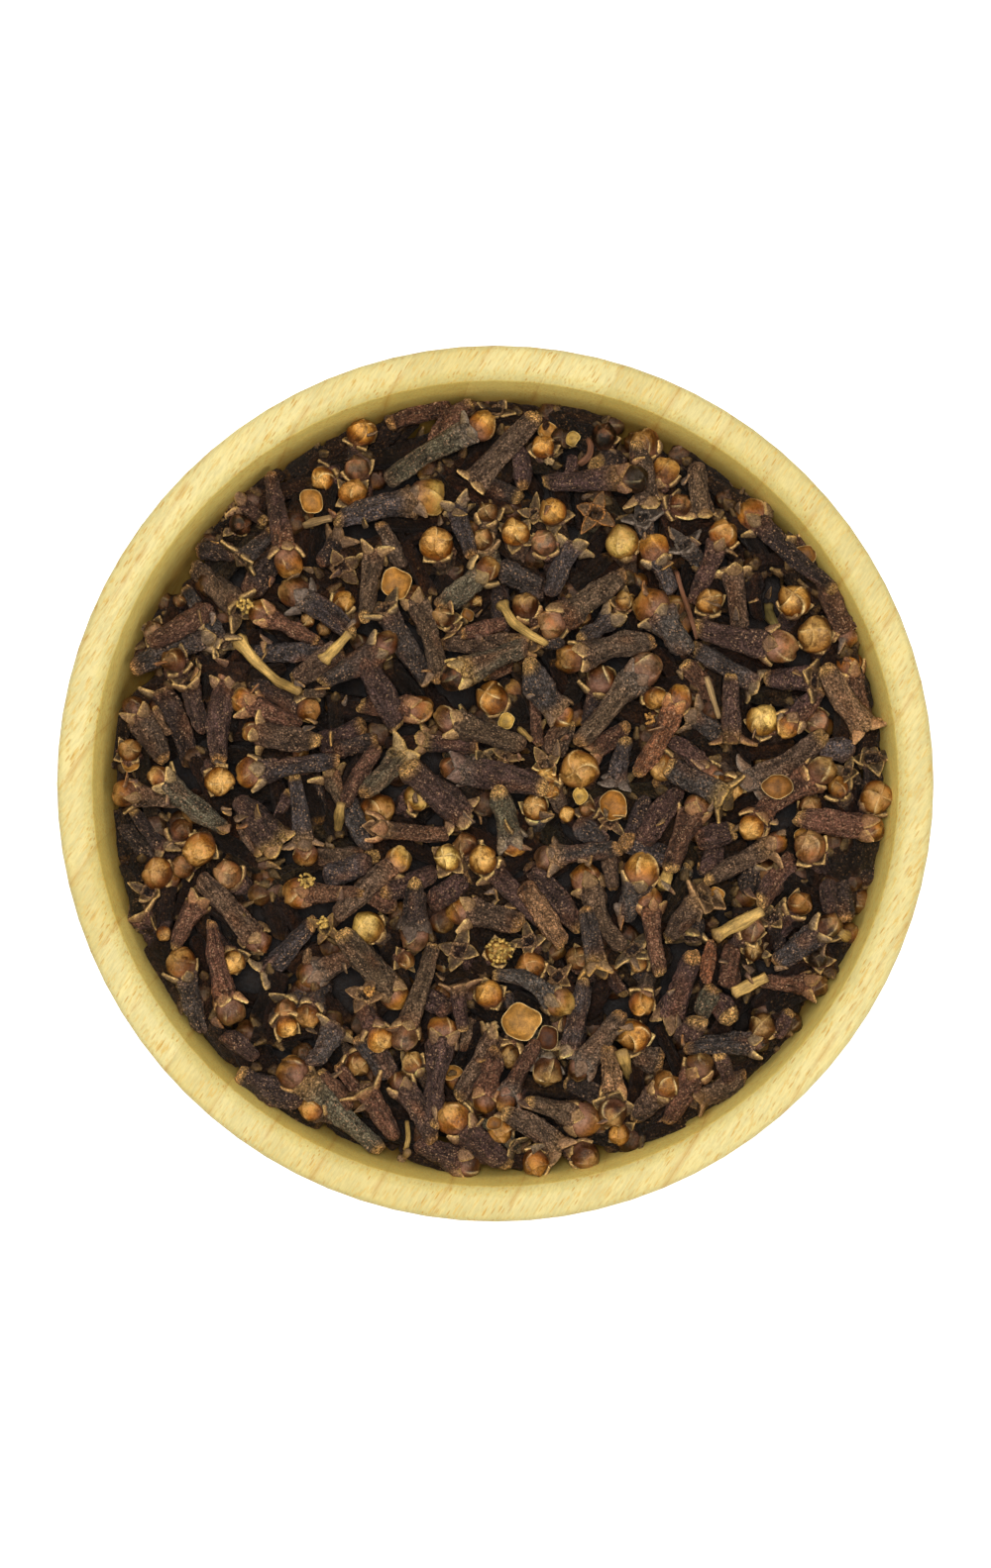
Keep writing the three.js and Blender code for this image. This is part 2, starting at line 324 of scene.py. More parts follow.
def make_bud(kind, c, axis, x, y, r, tone, stretch=1.0, seam=0.35, patch=0.5, rows=12, rng=RNG, fine_cols=True):
    """A rounded unopened bud about c: four petals, each folded over the next, with a thin worn edge."""
    lean = rng.normal(0, 0.20, 2)
    axis = unit(axis + x * lean[0] + y * lean[1])
    x = unit(x - axis * float(x @ axis))
    y = np.cross(axis, x)
    v = (np.arange(rows) + 1) / (rows + 1) * math.pi
    z = -np.cos(v)[:, None]
    q = np.sin(v)[:, None]
    share = np.array([0.0, 0.06, 0.20, 0.42, 0.66, 0.86, 0.97] if fine_cols else [0.0, 0.2, 0.5, 0.8, 0.96])
    ph = (np.arange(4)[:, None] + share[None]).ravel()[None]
    petal = np.repeat(np.arange(4), len(share))
    fold = np.tile(share, 4)[None]
    cols = len(petal)
    twist = rng.uniform(0.2, 0.9) * rng.choice([-1, 1])
    th = ph * math.pi / 2 + twist * (1 - z) + rng.uniform(0, 6)
    cx, cy = np.cos(th), np.sin(th)
    z = z * np.ones((1, cols))
    dx, dy = q * cx, q * cy
    off = rng.uniform(0, 90, 3)
    d = np.stack([dx, dy, z], -1)
    lump = noise(d * 1.2 + off, 2)
    fine = noise(d * 3.2 + off, 4)
    height = rng.uniform(-1, 1, 4)[petal][None]
    up = smooth(-0.55, 0.0, z)
    step = (0.03 + 0.12 * seam) * (0.5 - fold) * up * (1 - 0.5 * smooth(0.9, 1.0, z))
    corner = 0.045 * np.cos(4 * (ph * math.pi / 2)) * smooth(-0.2, 0.9, z)
    rr = r * (1 + 0.10 * lump + 0.045 * fine + step + 0.03 * height * up + corner)
    flat = rng.uniform(0.90, 1.0)
    top = 1 - 0.10 * smooth(0.55, 1.0, z) * rng.uniform(0, 1.3)
    pts = c + (rr * dx)[..., None] * x + (rr * dy * flat)[..., None] * y + (rr * z * stretch * top)[..., None] * axis
    dull = tone in "dDs"
    base = linear(BUD[tone]) * (1 + 0.14 * rng.uniform(-1, 1)) * (0.22 if dull else 0.735)
    each = (1 + 0.26 * rng.uniform(-1, 1, 4))[petal][None, :, None]
    col = np.ones((rows, cols, 3)) * base * (1 + 0.16 * lump[..., None]) * each
    broken = np.clip(0.5 + 1.3 * noise(d * 2.2 + off + 5, 12), 0, 1)
    # painted shade in the crease where each petal tucks under the next
    tuck = smooth(0.55, 1.0, fold) * up * (0.18 + 0.66 * seam) * broken
    # darker and deeper in colour towards the base: partly the bud's own colour, partly painted shade on its sides
    amber_and_side_shade = (1 - smooth(0.10, 0.90, z + 0.30 * lump))[..., None]
    col = col * (1 - amber_and_side_shade) + col * np.array([0.52, 0.35, 0.19]) * amber_and_side_shade
    # paler and creamier towards the crown: partly the bud's own colour, partly a painted highlight
    pale = smooth(0.45, 1.0, z + 0.35 * fine)[..., None] * rng.uniform(0.0, 0.38) * (not dull)
    col = col * (1 - pale) + linear((234, 186, 108)) * pale
    col = col * (1 - tuck[..., None])
    worn = smooth(0.10, 0.0, fold) * up * np.clip(noise(d * 1.9 + off + 9, 6) * 2.0 + seam - 0.2, 0, 1) * (0.35 + 0.6 * seam) * (0.4 if dull else 1.0)
    col = col * (1 - worn[..., None]) + linear(CREAM, 0.95) * worn[..., None]
    # darker and redder towards the calyx: partly dirt, partly painted shade where the bud meets the calyx
    low = smooth(0.20, -0.55, z + 0.15 * fine)[..., None] * 0.8
    col = col * (1 - low) + linear(STEM["r"], 0.8) * low
    above = (dx[..., None] * x + dy[..., None] * y + z[..., None] * axis)[..., 2]
    painted_top_light = (0.62 + 0.55 * smooth(-0.1, 0.95, above))[..., None]  # painted light: lighter where it faces up, darker and warmer on the sides turned down, as the light from above falls
    col = col * np.concatenate([painted_top_light, painted_top_light**1.25, painted_top_light**1.6], -1)
    second = linear(PATCH) * (1 + 0.25 * rng.uniform(-1, 1))
    # the blush carries the same painted light from above
    col2 = np.ones((rows, cols, 3)) * second * painted_top_light
    p0 = c - axis * r * stretch * 0.98
    p1 = c + axis * float((rr * z * stretch * top)[-1].mean()) * 1.015
    # grain holds the place on the bud, marks how bright its flecks are and the strength of its blush
    kind.tube(pts, p0, p1, col, d, col2=col2, aux=(0.15 if dull else 1.0, patch, rng.uniform(0, 40)))


def make_sepal(kind, base, out, axis, length, width, a0, a1, thick, col_in, col_out, col_edge, rng=RNG, rows=8, cols=8):
    """One boat-shaped calyx lobe. a0 and a1: its angle from the axis at its base and tip."""
    s = np.linspace(0.0, 0.97, rows)
    ang = a0 + (a1 - a0) * s
    ds = length / (rows - 1)
    t = np.cos(ang)[:, None] * axis + np.sin(ang)[:, None] * out
    mid = base + np.concatenate([[np.zeros(3)], np.cumsum((t[1:] + t[:-1]) / 2 * ds, 0)])
    m = np.cos(ang)[:, None] * out - np.sin(ang)[:, None] * axis
    b = np.cross(axis, out)
    wid = width / 2 * (1 - s**2.3) ** 0.75 * (1 + 0.12 * np.sin(s * 5.0 + 0.4))
    if cols == 8:  # two rows of points close to each edge keep its pale line thin
        ta = np.radians([0, 52, 90, 128, 180, 232, 270, 308])
        cx, cy = np.cos(ta), np.sin(ta)
    else:
        cx, cy = ring(cols)
    curl = rng.uniform(0.2, 0.6)
    skew = rng.uniform(-0.12, 0.12) * length * s**1.5
    th = thick / 2 * (1 - 0.55 * s)
    off = rng.uniform(0, 90, 3)
    wob = 1 + 0.16 * noise(np.stack([cx * np.ones((rows, 1)), cy * np.ones((rows, 1)), s[:, None] * 3 * np.ones(cols)], -1) * 1.4 + off, 3)
    pts = (
        mid[:, None]
        + (wid[:, None] * cy * wob + skew[:, None])[..., None] * b
        + (th[:, None] * cx - (curl * wid[:, None]) * cy**2)[..., None] * m[:, None]
    )
    edge = (np.abs(cy) ** (9 if cols == 8 else 4))[None, :, None] * smooth(0.02, 0.25, s)[:, None, None]
    inner = (cx < -0.2)[None, :, None]
    col = np.where(inner, col_in, col_out) * np.ones((rows, cols, 3))
    tipm = smooth(0.75, 1.0, s)[:, None, None] * 0.5
    e = np.clip(edge + tipm, 0, 1)
    col = col * (1 - e) + col_edge * e
    col = col * (1 + 0.25 * noise(pts * 1.5 + off, 9))[..., None]
    kind.tube(pts, mid[0] - t[0] * thick * 0.3, mid[-1] + t[-1] * length * 0.03, col, pts + off)


def make_sepals(kind, fr, bud_r, opening, tone, stem_tone, spread_roll=0.0, size=1.0, rng=RNG, skip=0.06, rows=8, cols=8):
    """Four lobes round the calyx."""
    edge = linear(CALYX[tone] if tone else (214, 174, 108), 1.35) * rng.uniform(0.75, 1.15)
    outc = linear(STEM[stem_tone]) * np.array([1.02, 0.84, 0.66]) + edge * (0.22 if tone else 0.12)
    inc = linear(STEM[stem_tone]) * np.array([0.26, 0.22, 0.18]) + edge * (0.07 if tone else 0.04)
    for k in range(4):
        if rng.random() < skip:
            continue
        a = spread_roll + k * math.pi / 2 + rng.normal(0, 0.10)
        out = fr["x"] * math.cos(a) + fr["y"] * math.sin(a)
        o = np.clip(opening + rng.normal(0, 0.13), 0, 1.25)
        length = rng.uniform(1.6, 2.6) * size
        a0 = math.radians(42 + 18 * o)
        a1 = math.radians(-28 + 120 * o)
        if bud_r:
            length = min(length, 0.6 + bud_r * 1.15)
        make_sepal(
            kind,
            fr["top"] + out * fr["r"] * 0.82 - fr["axis"] * 0.75,
            out,
            fr["axis"],
            length,
            min(2.4, rng.uniform(1.0, 1.35) * fr["r"]) * size,
            a0,
            a1,
            rng.uniform(1.0, 1.35) * min(1.0, fr["r"] / 1.5),
            inc * rng.uniform(0.7, 1.2),
            outc * rng.uniform(0.8, 1.15),
            edge * rng.uniform(0.8, 1.15),
            rng,
            rows,
            cols,
        )


def make_cup(kind, c, r, tone, tilt, rng=RNG, lobes=4, depth=0.62):
    """A petal cap come loose: a thin shell, open upwards, with a torn uneven edge."""
    axis = unit([tilt[0], tilt[1], 1.0])
    x, y = side_frame(axis, rng.uniform(0, 6.3))
    cols = 36
    cx, cy = ring(cols)
    th = np.arange(cols) / cols * 2 * math.pi
    f = np.array([0.28, 0.58, 0.84, 0.98, 1.02, 1.00, 0.96, 0.86, 0.66, 0.42, 0.20])
    z = np.array([-1.02, -0.90, -0.55, -0.12, 0.05, 0.06, -0.04, -0.34, -0.66, -0.82, -0.88]) * depth
    off = rng.uniform(0, 90, 3)
    ell = rng.uniform(0.78, 1.0)
    wob = 1 + 0.05 * np.cos(lobes * th + rng.uniform(0, 6)) + 0.13 * noise(np.stack([cx, cy, 0 * cx], -1) * 1.3 + off, 3)
    ragged = 0.10 * np.cos(lobes * th + rng.uniform(0, 6)) + 0.28 * noise(np.stack([cx, cy, 0 * cx], -1) * 1.7 + off, 5) + 0.10 * noise(np.stack([cx, cy, 0 * cx], -1) * 5.0 + off, 8)
    lift = smooth(0.75, 1.0, f)[:, None] * ragged[None] - 0.06 * noise(np.stack([f[:, None] * cx * 2, f[:, None] * cy * 2, 0 * f[:, None] * cx], -1) + off, 4)
    pts = (
        c
        + (r * f[:, None] * wob * cx)[..., None] * x
        + (r * f[:, None] * wob * cy * ell)[..., None] * y
        + (r * (z[:, None] + lift))[..., None] * axis
    )
    base = linear(BUD[tone]) * 0.95
    col = np.ones((len(f), cols, 3)) * base
    col[4:6] = linear(CREAM) * 0.7 + base * 0.3
    # painted shade: darker and warmer down inside the cup
    col[6:] = base * np.array([0.85, 0.60, 0.72, 0.62, 0.45])[:, None, None] * np.array([1.0, 0.94, 0.84])
    col = col * (1 + 0.45 * noise(pts * 1.1 + off, 6))[..., None]
    kind.tube(pts, c - axis * r * depth * 1.05, c - axis * r * depth * 0.86, col, pts + off, col2=col, aux=(0.0, 0.0, 1.0))


def make_strand(kind, path, w0, w1, colour, rng=RNG, cols=12, knob=0.0, edge=None):
    """A stalk or filament along path, w0 wide at its start and w1 at its end."""
    path = np.asarray(path, float)
    seg = np.linalg.norm(np.diff(path, axis=0), axis=1)
    u = np.concatenate([[0], np.cumsum(seg)])
    n = max(5, int(u[-1] / 0.45)) if cols > 6 else 5
    g = np.linspace(0, u[-1], n)
    p = np.stack([np.interp(g, u, path[:, i]) for i in range(3)], 1)
    if n > 6:
        for _ in range(3):
            p[1:-1] = (p[:-2] + 2 * p[1:-1] + p[2:]) / 4
    t = np.gradient(p, axis=0)
    t /= np.linalg.norm(t, axis=1)[:, None] + 1e-9
    f = g / max(g[-1], 1e-6)
    r = (w0 + (w1 - w0) * f) / 2
    r = r * (1 + knob * (np.exp(-((f / 0.08) ** 2))) + 0.10 * np.sin(f * 9 + rng.uniform(0, 6)))
    x = np.cross(np.array([0, 0, 1.0]), t)
    x /= np.linalg.norm(x, axis=1)[:, None] + 1e-9
    y = np.cross(t, x)
    cx, cy = ring(cols)
    off = rng.uniform(0, 90, 3)
    q = np.stack([np.tile(cx, (n, 1)), np.tile(cy, (n, 1)), g[:, None] * np.ones(cols)], -1)
    rib = 1 + (0.22 * noise(q * np.array([1.8, 1.8, 0.35]) + off, 3) + 0.07 * noise(q * np.array([2.5, 2.5, 1.5]) + off, 13) if cols > 6 else 0)
    rad = r[:, None] * rib
    pts = p[:, None] + (rad * cx)[..., None] * x[:, None] + (rad * 0.82 * cy)[..., None] * y[:, None]
    col = np.ones((n, cols, 3)) * colour * (1 + 0.34 * noise(q * np.array([1.7, 1.7, 0.5]) + off, 5))[..., None]
    if cols > 6:
        ends = (smooth(0.10, 0.0, f) + smooth(0.92, 1.0, f))[:, None, None] * 0.5
        col = col * (1 - ends) + linear((112, 78, 50)) * ends
    kind.tube(pts, p[0] - t[0] * r[0] * 0.3, p[-1] + t[-1] * r[-1] * 0.3, col, q + off)


def make_tuft(kind, c, r, colour, rng=RNG, count=26, axis=(0, 0, 1)):
    """Dried stamens: short curved filaments with small anthers."""
    axis = unit(axis)
    x, y = side_frame(axis, 0.0)
    for _ in range(count):
        a, q = rng.uniform(0, 2 * math.pi), math.sqrt(rng.uniform(0.02, 1))
        foot = c + (x * math.cos(a) + y * math.sin(a)) * r * q * 0.78 - axis * 0.3
        lean = unit(axis + (x * math.cos(a + rng.normal(0, 1.2)) + y * math.sin(a + rng.normal(0, 1.2))) * rng.uniform(0.0, 0.6))
        ln = rng.uniform(0.35, 0.75) * r * 0.8 * (1.15 - 0.5 * q)
        path = [foot, foot + lean * ln * 0.6, foot + lean * ln + (x * rng.normal() + y * rng.normal()) * 0.12]
        shade = colour * rng.uniform(0.45, 1.5)
        make_strand(kind, path, rng.uniform(0.20, 0.30), rng.uniform(0.40, 0.62), shade, rng, cols=5)


# Every thing that shows, by its place in the picture, in pixels: W whole clove, O open calyx, N bare stem: stem end x y,
# head x y, width, stem tone, bud tone, how high it lies; B bud, C loose petal cap, T stamens; S stalk along points.
TABLE = """
W 272 476 291 568 21 p g 6 r=14 br=1.25
N 288 548 252 602 26 d - 4
O 187 568 244 616 27 b - 6 up=35 a=80
O 187 593 226 652 19 s - 5 up=20
N 152 651 214 613 23 r - 3
B 0 0 156 638 0 - p 2 r=11
B 0 0 182 607 0 - b 1 r=7
O 134 676 208 642 27 s - 2
W 200 705 176 667 20 p r 5 r=13 p=55
W 221 771 226 684 25 p g 6 r=12 br=1.3
O 206 741 190 688 20 p - 5
O 193 771 160 694 24 d - 4 o=0.2
W 168 769 136 715 26 b r 4 r=12
N 157 713 172 742 12 t - 5
B 0 0 131 757 0 - o 4 r=12
C 0 0 133 769 0 - g 2 r=10
W 230 839 161 784 24 o o 6 r=12
W 196 812 127 801 20 b o 4 r=14
O 134 818 166 858 17 d - 3
N 124 832 153 869 22 d - 2
W 170 862 184 838 20 p r 3 r=12 p=50
W 216 832 202 857 22 b g 7 r=18 p=72
W 175 905 160 881 22 b o 6 r=17 p=70
B 0 0 186 874 0 - b 4 r=12
W 252 905 230 882 22 p m 5 r=15 p=55
W 201 884 261 950 28 b o 7 r=14
W 214 929 233 1019 22 r b 7 r=16
W 222 955 236 971 20 p g 5 r=13 p=60
W 203 1042 183 972 22 s o 6 r=16
O 167 972 138 919 26 p - 5 up=45 a=115
O 165 915 150 899 18 p - 6 p=65 a=160
B 0 0 166 942 0 - o 3 r=8
O 177 960 200 911 22 r - 4
W 358 641 298 599 26 s b 6 r=17 c=s
O 335 545 345 575 20 r - 6 p=60 a=40 o=1
W 335 625 347 608 18 d g 4 r=12 p=60
O 368 626 378 558 20 b - 6 o=1
C 0 0 400 590 0 - g 6 r=16
O 432 690 388 613 25 s - 7 o=0.8 a=135
W 442 690 418 603 23 b b 7 r=12
W 324 691 390 650 25 s r 7 r=13
S 240,646 258,668 280,688 304,699 w=11 y - 8 knob=1
N 306 700 328 700 10 b - 7
S 328,667 354,641 w=11 y - 8 knob=1
W 322 648 262 618 19 r o 5 r=12
N 255 660 328 655 21 s - 4
B 0 0 311 627 0 - b 4 r=8
B 0 0 327 635 0 - b 4 r=8
N 296 688 345 656 26 b - 5
W 250 690 312 716 23 d o 6 r=13
W 303 733 247 708 22 r g 7 r=14
W 323 749 255 739 28 b o 7 r=11 o=0.9
W 343 768 252 780 21 s o 8 r=15
W 205 768 222 789 20 p g 6 r=15 p=65
O 240 807 277 852 33 p - 7 o=0.7 c=y
N 243 832 261 861 14 b - 4
W 298 781 308 862 20 s o 7 r=13 o=0.9 c=t
N 294 798 279 838 14 p - 5
N 324 828 316 778 17 d - 5
O 353 819 332 781 21 b - 6 o=0.8
N 382 753 347 812 17 r - 7
S 346,811 339,843 w=11 y - 8
N 381 747 338 758 20 d - 5
N 368 731 322 753 26 p - 4
N 371 857 350 800 21 s - 6
W 362 800 381 819 22 b o 6 r=18 p=68
O 452 842 380 836 21 r - 7 o=0.1 c=t
W 400 820 421 806 22 p y 5 r=14 p=55
O 409 773 466 824 33 p - 8 o=0.9
W 552 797 458 776 28 p r 8 r=14 c=s
O 482 754 424 747 22 p - 6 c=y
W 530 754 452 727 28 b b 8 r=15
W 362 712 424 716 24 r o 7 r=14
N 402 736 366 665 26 p - 8
O 366 803 408 762 26 o - 7 o=0.8 c=y
N 379 866 318 864 24 b - 5
W 338 926 402 868 22 b y 8 r=14 seam=1
N 328 886 374 870 27 s - 5
W 368 903 302 902 20 r g 7 r=16
T 0 0 310 889 0 - y 8 r=9
O 345 925 328 938 14 t - 8 p=70 a=150 o=1 c=y
O 318 930 268 983 24 s - 7 o=0.9
W 362 962 314 984 22 b b 6 r=15 c=s
N 311 957 309 973 10 t - 6
W 344 940 398 1004 28 b g 8 r=15
W 395 955 372 936 22 b y 7 r=17 p=60
N 397 916 362 893 22 r - 5
N 386 901 440 879 22 p - 6
W 418 888 418 944 25 d p 6 r=16 c=s seam=1
B 0 0 410 969 0 - o 3 r=9
W 438 952 408 1047 21 b p 8 r=14
O 372 1028 368 1003 18 t - 7 p=60 a=150 o=1 c=t
W 362 1008 384 1048 22 p g 6 r=14
W 300 1003 289 1019 20 s b 5 r=12 p=60
W 280 1020 290 1036 20 b g 6 r=12 p=55
W 322 1003 311 1025 22 s o 6 r=13 p=55
O 313 1076 338 1036 24 s - 7 o=1
B 0 0 351 1043 0 - b 3 r=6
N 259 1069 226 1043 22 p - 4
N 241 1082 305 1112 28 d - 4
W 384 1163 296 1082 26 o o 9 r=17 c=o
W 345 1130 315 1119 20 b g 4 r=13 p=35
W 340 1060 362 1073 20 b o 5 r=13 p=50
N 323 1080 353 1119 16 r - 6
N 340 1074 366 1108 16 r - 4
O 400 1150 367 1099 26 r - 7 o=0.7
W 437 1153 403 1091 26 p b 7 r=11
N 362 1045 393 1087 24 s - 5
W 425 1090 416 1072 18 b t 5 r=11 p=50
S 411,1131 413,1147 409,1160 w=5 y - 8
S 403,1173 409,1167 413,1158 w=8 t - 8
W 420 1153 472 1174 25 p r 6 r=14
W 436 1140 447 1041 25 p o 9 r=16
C 0 0 457 1082 0 - g 5 r=10
O 461 1109 501 1046 23 b - 7 o=0.7
T 0 0 497 1036 0 - t 7 r=7
N 476 1027 467 1061 13 b - 6
W 515 1184 457 1129 32 p g 9 r=18
W 501 1058 489 1111 26 r o 7 r=13
W 542 1049 510 1111 19 r o 8 r=11 c=s
W 520 1045 515 1066 20 b b 5 r=12 p=55
C 0 0 525 1031 0 - G 9 r=20
C 0 0 552 1047 0 - r 7 r=13
W 497 984 565 1012 21 s y 8 r=15
W 505 1020 493 1003 22 b g 7 r=15 p=70
N 511 1000 515 1018 15 s - 6
W 548 992 535 975 22 b o 7 r=15 p=65
T 0 0 502 960 0 - y 8 r=16
W 500 985 502 960 22 p g 7 r=13 p=75
O 470 975 463 959 20 p - 7 p=62 a=80 o=0.9
O 468 1040 462 993 18 p - 6 o=0.9 c=t
B 0 0 454 1013 0 - b 3 r=7
N 428 1004 452 1020 24 p - 3
W 527 934 466 919 28 b g 8 r=15
N 472 884 434 913 26 p - 5
W 503 890 487 868 22 p g 8 r=15 p=60
W 462 880 452 866 22 t y 8 r=14 p=72 o=1 seam=1
W 485 870 470 852 20 b r 5 r=12 p=50
W 502 796 518 854 26 o g 9 r=12 c=s
W 548 840 540 815 22 s o 6 r=14 p=55
W 626 856 551 866 22 s p 8 r=13 o=0.9 c=t
W 595 800 584 778 24 b g 8 r=19 p=72
O 634 732 596 760 24 r - 6 c=t
W 583 752 650 676 25 b p 9 r=18 c=s
W 592 737 606 686 22 d r 8 r=16 seam=1 o=0.7
W 661 648 575 665 27 b o 9 r=15
W 631 580 557 630 29 b m 9 r=15
W 572 600 585 622 20 p r 6 r=12 p=60
W 693 661 659 612 30 s g 9 r=19 o=0.8
W 622 622 630 607 16 t t 7 r=10 p=65 seam=1
O 583 646 616 626 23 s - 6
S 507,611 518,630 535,643 551,651 w=10 y - 9 knob=1
N 545 650 568 650 14 s - 7
O 446 650 534 650 20 b - 6 o=0.1 c=o
W 533 653 457 684 25 o d 7 r=14 c=y
N 487 684 531 661 17 r - 5
W 512 730 497 706 24 b O 8 r=17 p=68 seam=1
W 533 668 566 722 30 s g 9 r=12 seam=1 c=t
N 538 694 543 752 12 r - 7
N 573 727 556 762 27 b - 6
O 553 790 551 771 18 t - 6 p=60 a=120
W 560 805 552 787 18 b g 6 r=12 p=45
B 0 0 555 798 0 - O 7 r=9
C 0 0 511 728 0 - y 7 r=9
S 524,735 536,747 w=6 s - 7
O 470 765 490 768 16 o - 5 p=50
O 515 775 511 762 14 t - 6 p=60
W 445 613 492 574 31 o o 8 r=13
B 0 0 448 622 0 - r 5 r=12
N 503 574 550 599 27 s - 7
O 557 602 577 553 25 s - 8 o=0.9
N 503 590 505 640 20 d - 5
N 466 641 511 629 17 r - 7
B 0 0 481 607 0 - t 4 r=6
C 0 0 472 621 0 - o 4 r=7
O 465 640 455 633 12 t - 4 p=60
W 545 632 530 612 22 r r 7 r=14 p=40
W 345 488 365 438 16 d O 6 r=15 p=40 o=0.8
W 368 500 360 474 20 p p 4 r=13 p=60
W 350 520 357 498 20 b g 6 r=15 p=68 o=0.8
W 338 527 431 503 24 s y 8 r=20 o=0.9 c=t
S 307,530 336,525 w=8 t - 8
B 0 0 326 484 0 - g 3 r=12
C 0 0 315 507 0 - g 4 r=13
O 322 570 343 544 20 d - 6 o=0.8 c=t
N 383 528 407 573 18 b - 5
W 455 585 441 550 24 b O 8 r=18 p=62
N 392 430 456 410 21 r - 4
N 476 397 436 453 21 r - 6
W 390 488 486 431 24 o g 7 r=15 c=s o=0.8
O 541 419 478 489 25 b - 9 o=1
O 476 563 461 512 20 s - 7 o=0.7
W 492 545 492 518 18 b b 6 r=11 p=45
W 500 570 487 545 22 o b 6 r=11 p=45 c=t
N 528 494 524 454 20 p - 6
N 526 504 486 488 22 d - 5
O 505 430 502 414 16 p - 4 p=45 a=150
B 0 0 548 452 0 - O 5 r=12
C 0 0 553 437 0 - g 5 r=10
B 0 0 567 443 0 - d 3 r=12
C 0 0 556 424 0 - g 3 r=7
T 0 0 554 466 0 - t 6 r=5
W 549 488 640 484 26 p d 8 r=14 c=o
O 590 540 601 518 20 o - 9 p=76 a=60 o=1 c=O
W 570 540 558 517 20 b g 8 r=15 p=65 o=0.8
O 545 530 538 518 14 b - 6 p=60
W 530 560 520 538 22 b g 7 r=15 p=62 o=0.7
W 560 575 549 548 22 p p 7 r=13 p=60
N 578 462 574 492 15 p - 5
C 0 0 578 444 0 - y 6 r=8
S 590,437 597,448 595,461 585,468 w=8 r - 6
B 0 0 609 441 0 - D 4 r=14
N 598 470 627 470 28 d - 4
W 641 446 652 505 25 b - 7 nob=1
W 668 470 650 449 20 d o 5 r=16 p=45
W 655 520 671 476 20 p g 5 r=15 p=40
O 703 466 709 523 25 b - 7 o=1 a=70
W 660 515 686 511 20 p r 5 r=12 p=40 o=0.8
O 657 560 648 522 22 s - 7 p=40 a=100 o=1 c=s
W 640 590 628 548 24 b y 7 r=18 p=60
W 678 600 660 555 23 s O 7 r=15
O 705 570 690 549 20 s - 6 p=40 c=s
W 698 610 729 540 19 p O 7 r=15
W 847 594 758 521 24 d O 8 r=17
C 0 0 811 561 0 - o 5 r=11
O 822 575 800 541 20 d - 4
S 681,571 686,590 693,615 701,646 w=5 r - 10
W 708 640 716 607 20 b o 7 r=14 p=62
O 748 642 738 577 24 b - 9 o=1
W 700 632 786 653 27 p m 9 r=18 seam=1
O 699 652 764 692 26 s - 8 o=0.7
N 689 669 724 709 20 r - 7
N 719 676 688 658 16 d - 5
S 713,683 726,725 w=6 t - 9
O 737 680 738 750 20 p - 8 o=1 c=o
W 640 690 660 705 16 b g 6 r=12 p=60
W 642 783 685 705 21 R O 9 r=14
O 733 744 697 722 25 s - 7 c=t
T 0 0 655 726 0 - o 6 r=7
W 792 640 801 607 22 p O 7 r=17 p=60 seam=1
S 776,612 781,628 787,645 w=11 o - 8 knob=1
W 832 672 822 641 24 p t 8 r=19 p=66
W 828 585 855 644 25 r O 6 r=11
W 880 735 856 670 18 r O 6 r=14
O 772 686 822 686 25 p - 8 o=1 a=60
O 832 672 873 737 28 t - 7 o=0.7 c=t
W 827 697 794 734 24 p g 6 r=12
W 790 745 768 728 24 b y 8 r=17 p=66
W 800 710 823 728 22 d p 5 r=13 p=40
O 831 741 757 788 28 b - 9 o=1 c=s
W 725 760 735 797 20 b o 7 r=13 p=50
N 862 757 827 757 25 s - 6
O 882 803 879 765 24 d - 5 p=40 a=20 o=1
W 868 830 884 805 24 p O 7 r=17 p=62
W 768 818 829 777 27 r b 8 r=15 seam=1
C 0 0 783 794 0 - o 9 r=15
W 862 815 845 795 18 b O 6 r=11 p=50
O 865 790 853 779 14 b - 6 p=55
W 801 789 758 835 25 r g 8 r=14 p=25
W 802 824 880 837 29 r O 9 r=13
B 0 0 817 815 0 - b 5 r=12
W 835 880 816 855 24 p m 8 r=17 p=50
C 0 0 807 843 0 - g 6 r=8
W 712 890 783 850 24 b O 8 r=12 o=0.9 c=t
N 751 903 762 872 21 d - 5
N 765 912 801 868 25 p - 7
N 875 893 871 860 22 d - 4
N 853 930 846 888 22 d - 3
N 838 922 834 888 20 p - 3
W 795 930 806 912 20 p o 6 r=13 p=45
W 782 972 836 934 27 s r 8 r=13
S 856,948 845,940 w=12 y - 5
S 721,944 745,931 768,919 w=15 y - 9
W 740 960 758 938 20 p p 6 r=13 p=50
S 738,1001 755,992 771,985 w=13 y - 9
O 700 962 675 1025 27 p - 9 o=0.4
N 719 995 707 1026 23 o - 7
N 705 1027 690 1052 26 p - 7
N 718 951 711 990 14 R - 7
N 738 953 735 998 20 r - 7
B 0 0 760 960 0 - b 4 r=10
O 785 945 778 925 20 d - 5 p=50
W 765 990 822 994 20 r r 7 r=13
B 0 0 825 968 0 - d 4 r=10
N 738 1029 722 1008 26 p - 6
W 790 1060 769 1036 20 p r 6 r=14 p=45
N 797 1020 783 1046 16 p - 4
W 692 1057 766 1053 26 s d 8 r=9
N 724 1062 735 1090 18 p - 9
W 674 1133 706 1074 25 r b 8 r=14
O 756 1089 701 1108 24 b - 7 c=t
W 640 1131 672 1095 22 b o 8 r=14 seam=1
N 669 1072 639 1064 28 b - 7
W 650 1068 640 1045 24 b O 8 r=17 p=62 seam=1
W 655 990 647 1013 20 b O 8 r=13 p=55
W 628 1021 584 1079 27 b b 9 r=13 c=s seam=1
O 613 1055 619 1100 22 t - 9 o=0.1
S 626,1058 633,1080 640,1097 w=12 y - 9
W 618 1095 618 1122 24 b r 8 r=15 p=60 seam=1 o=0.8
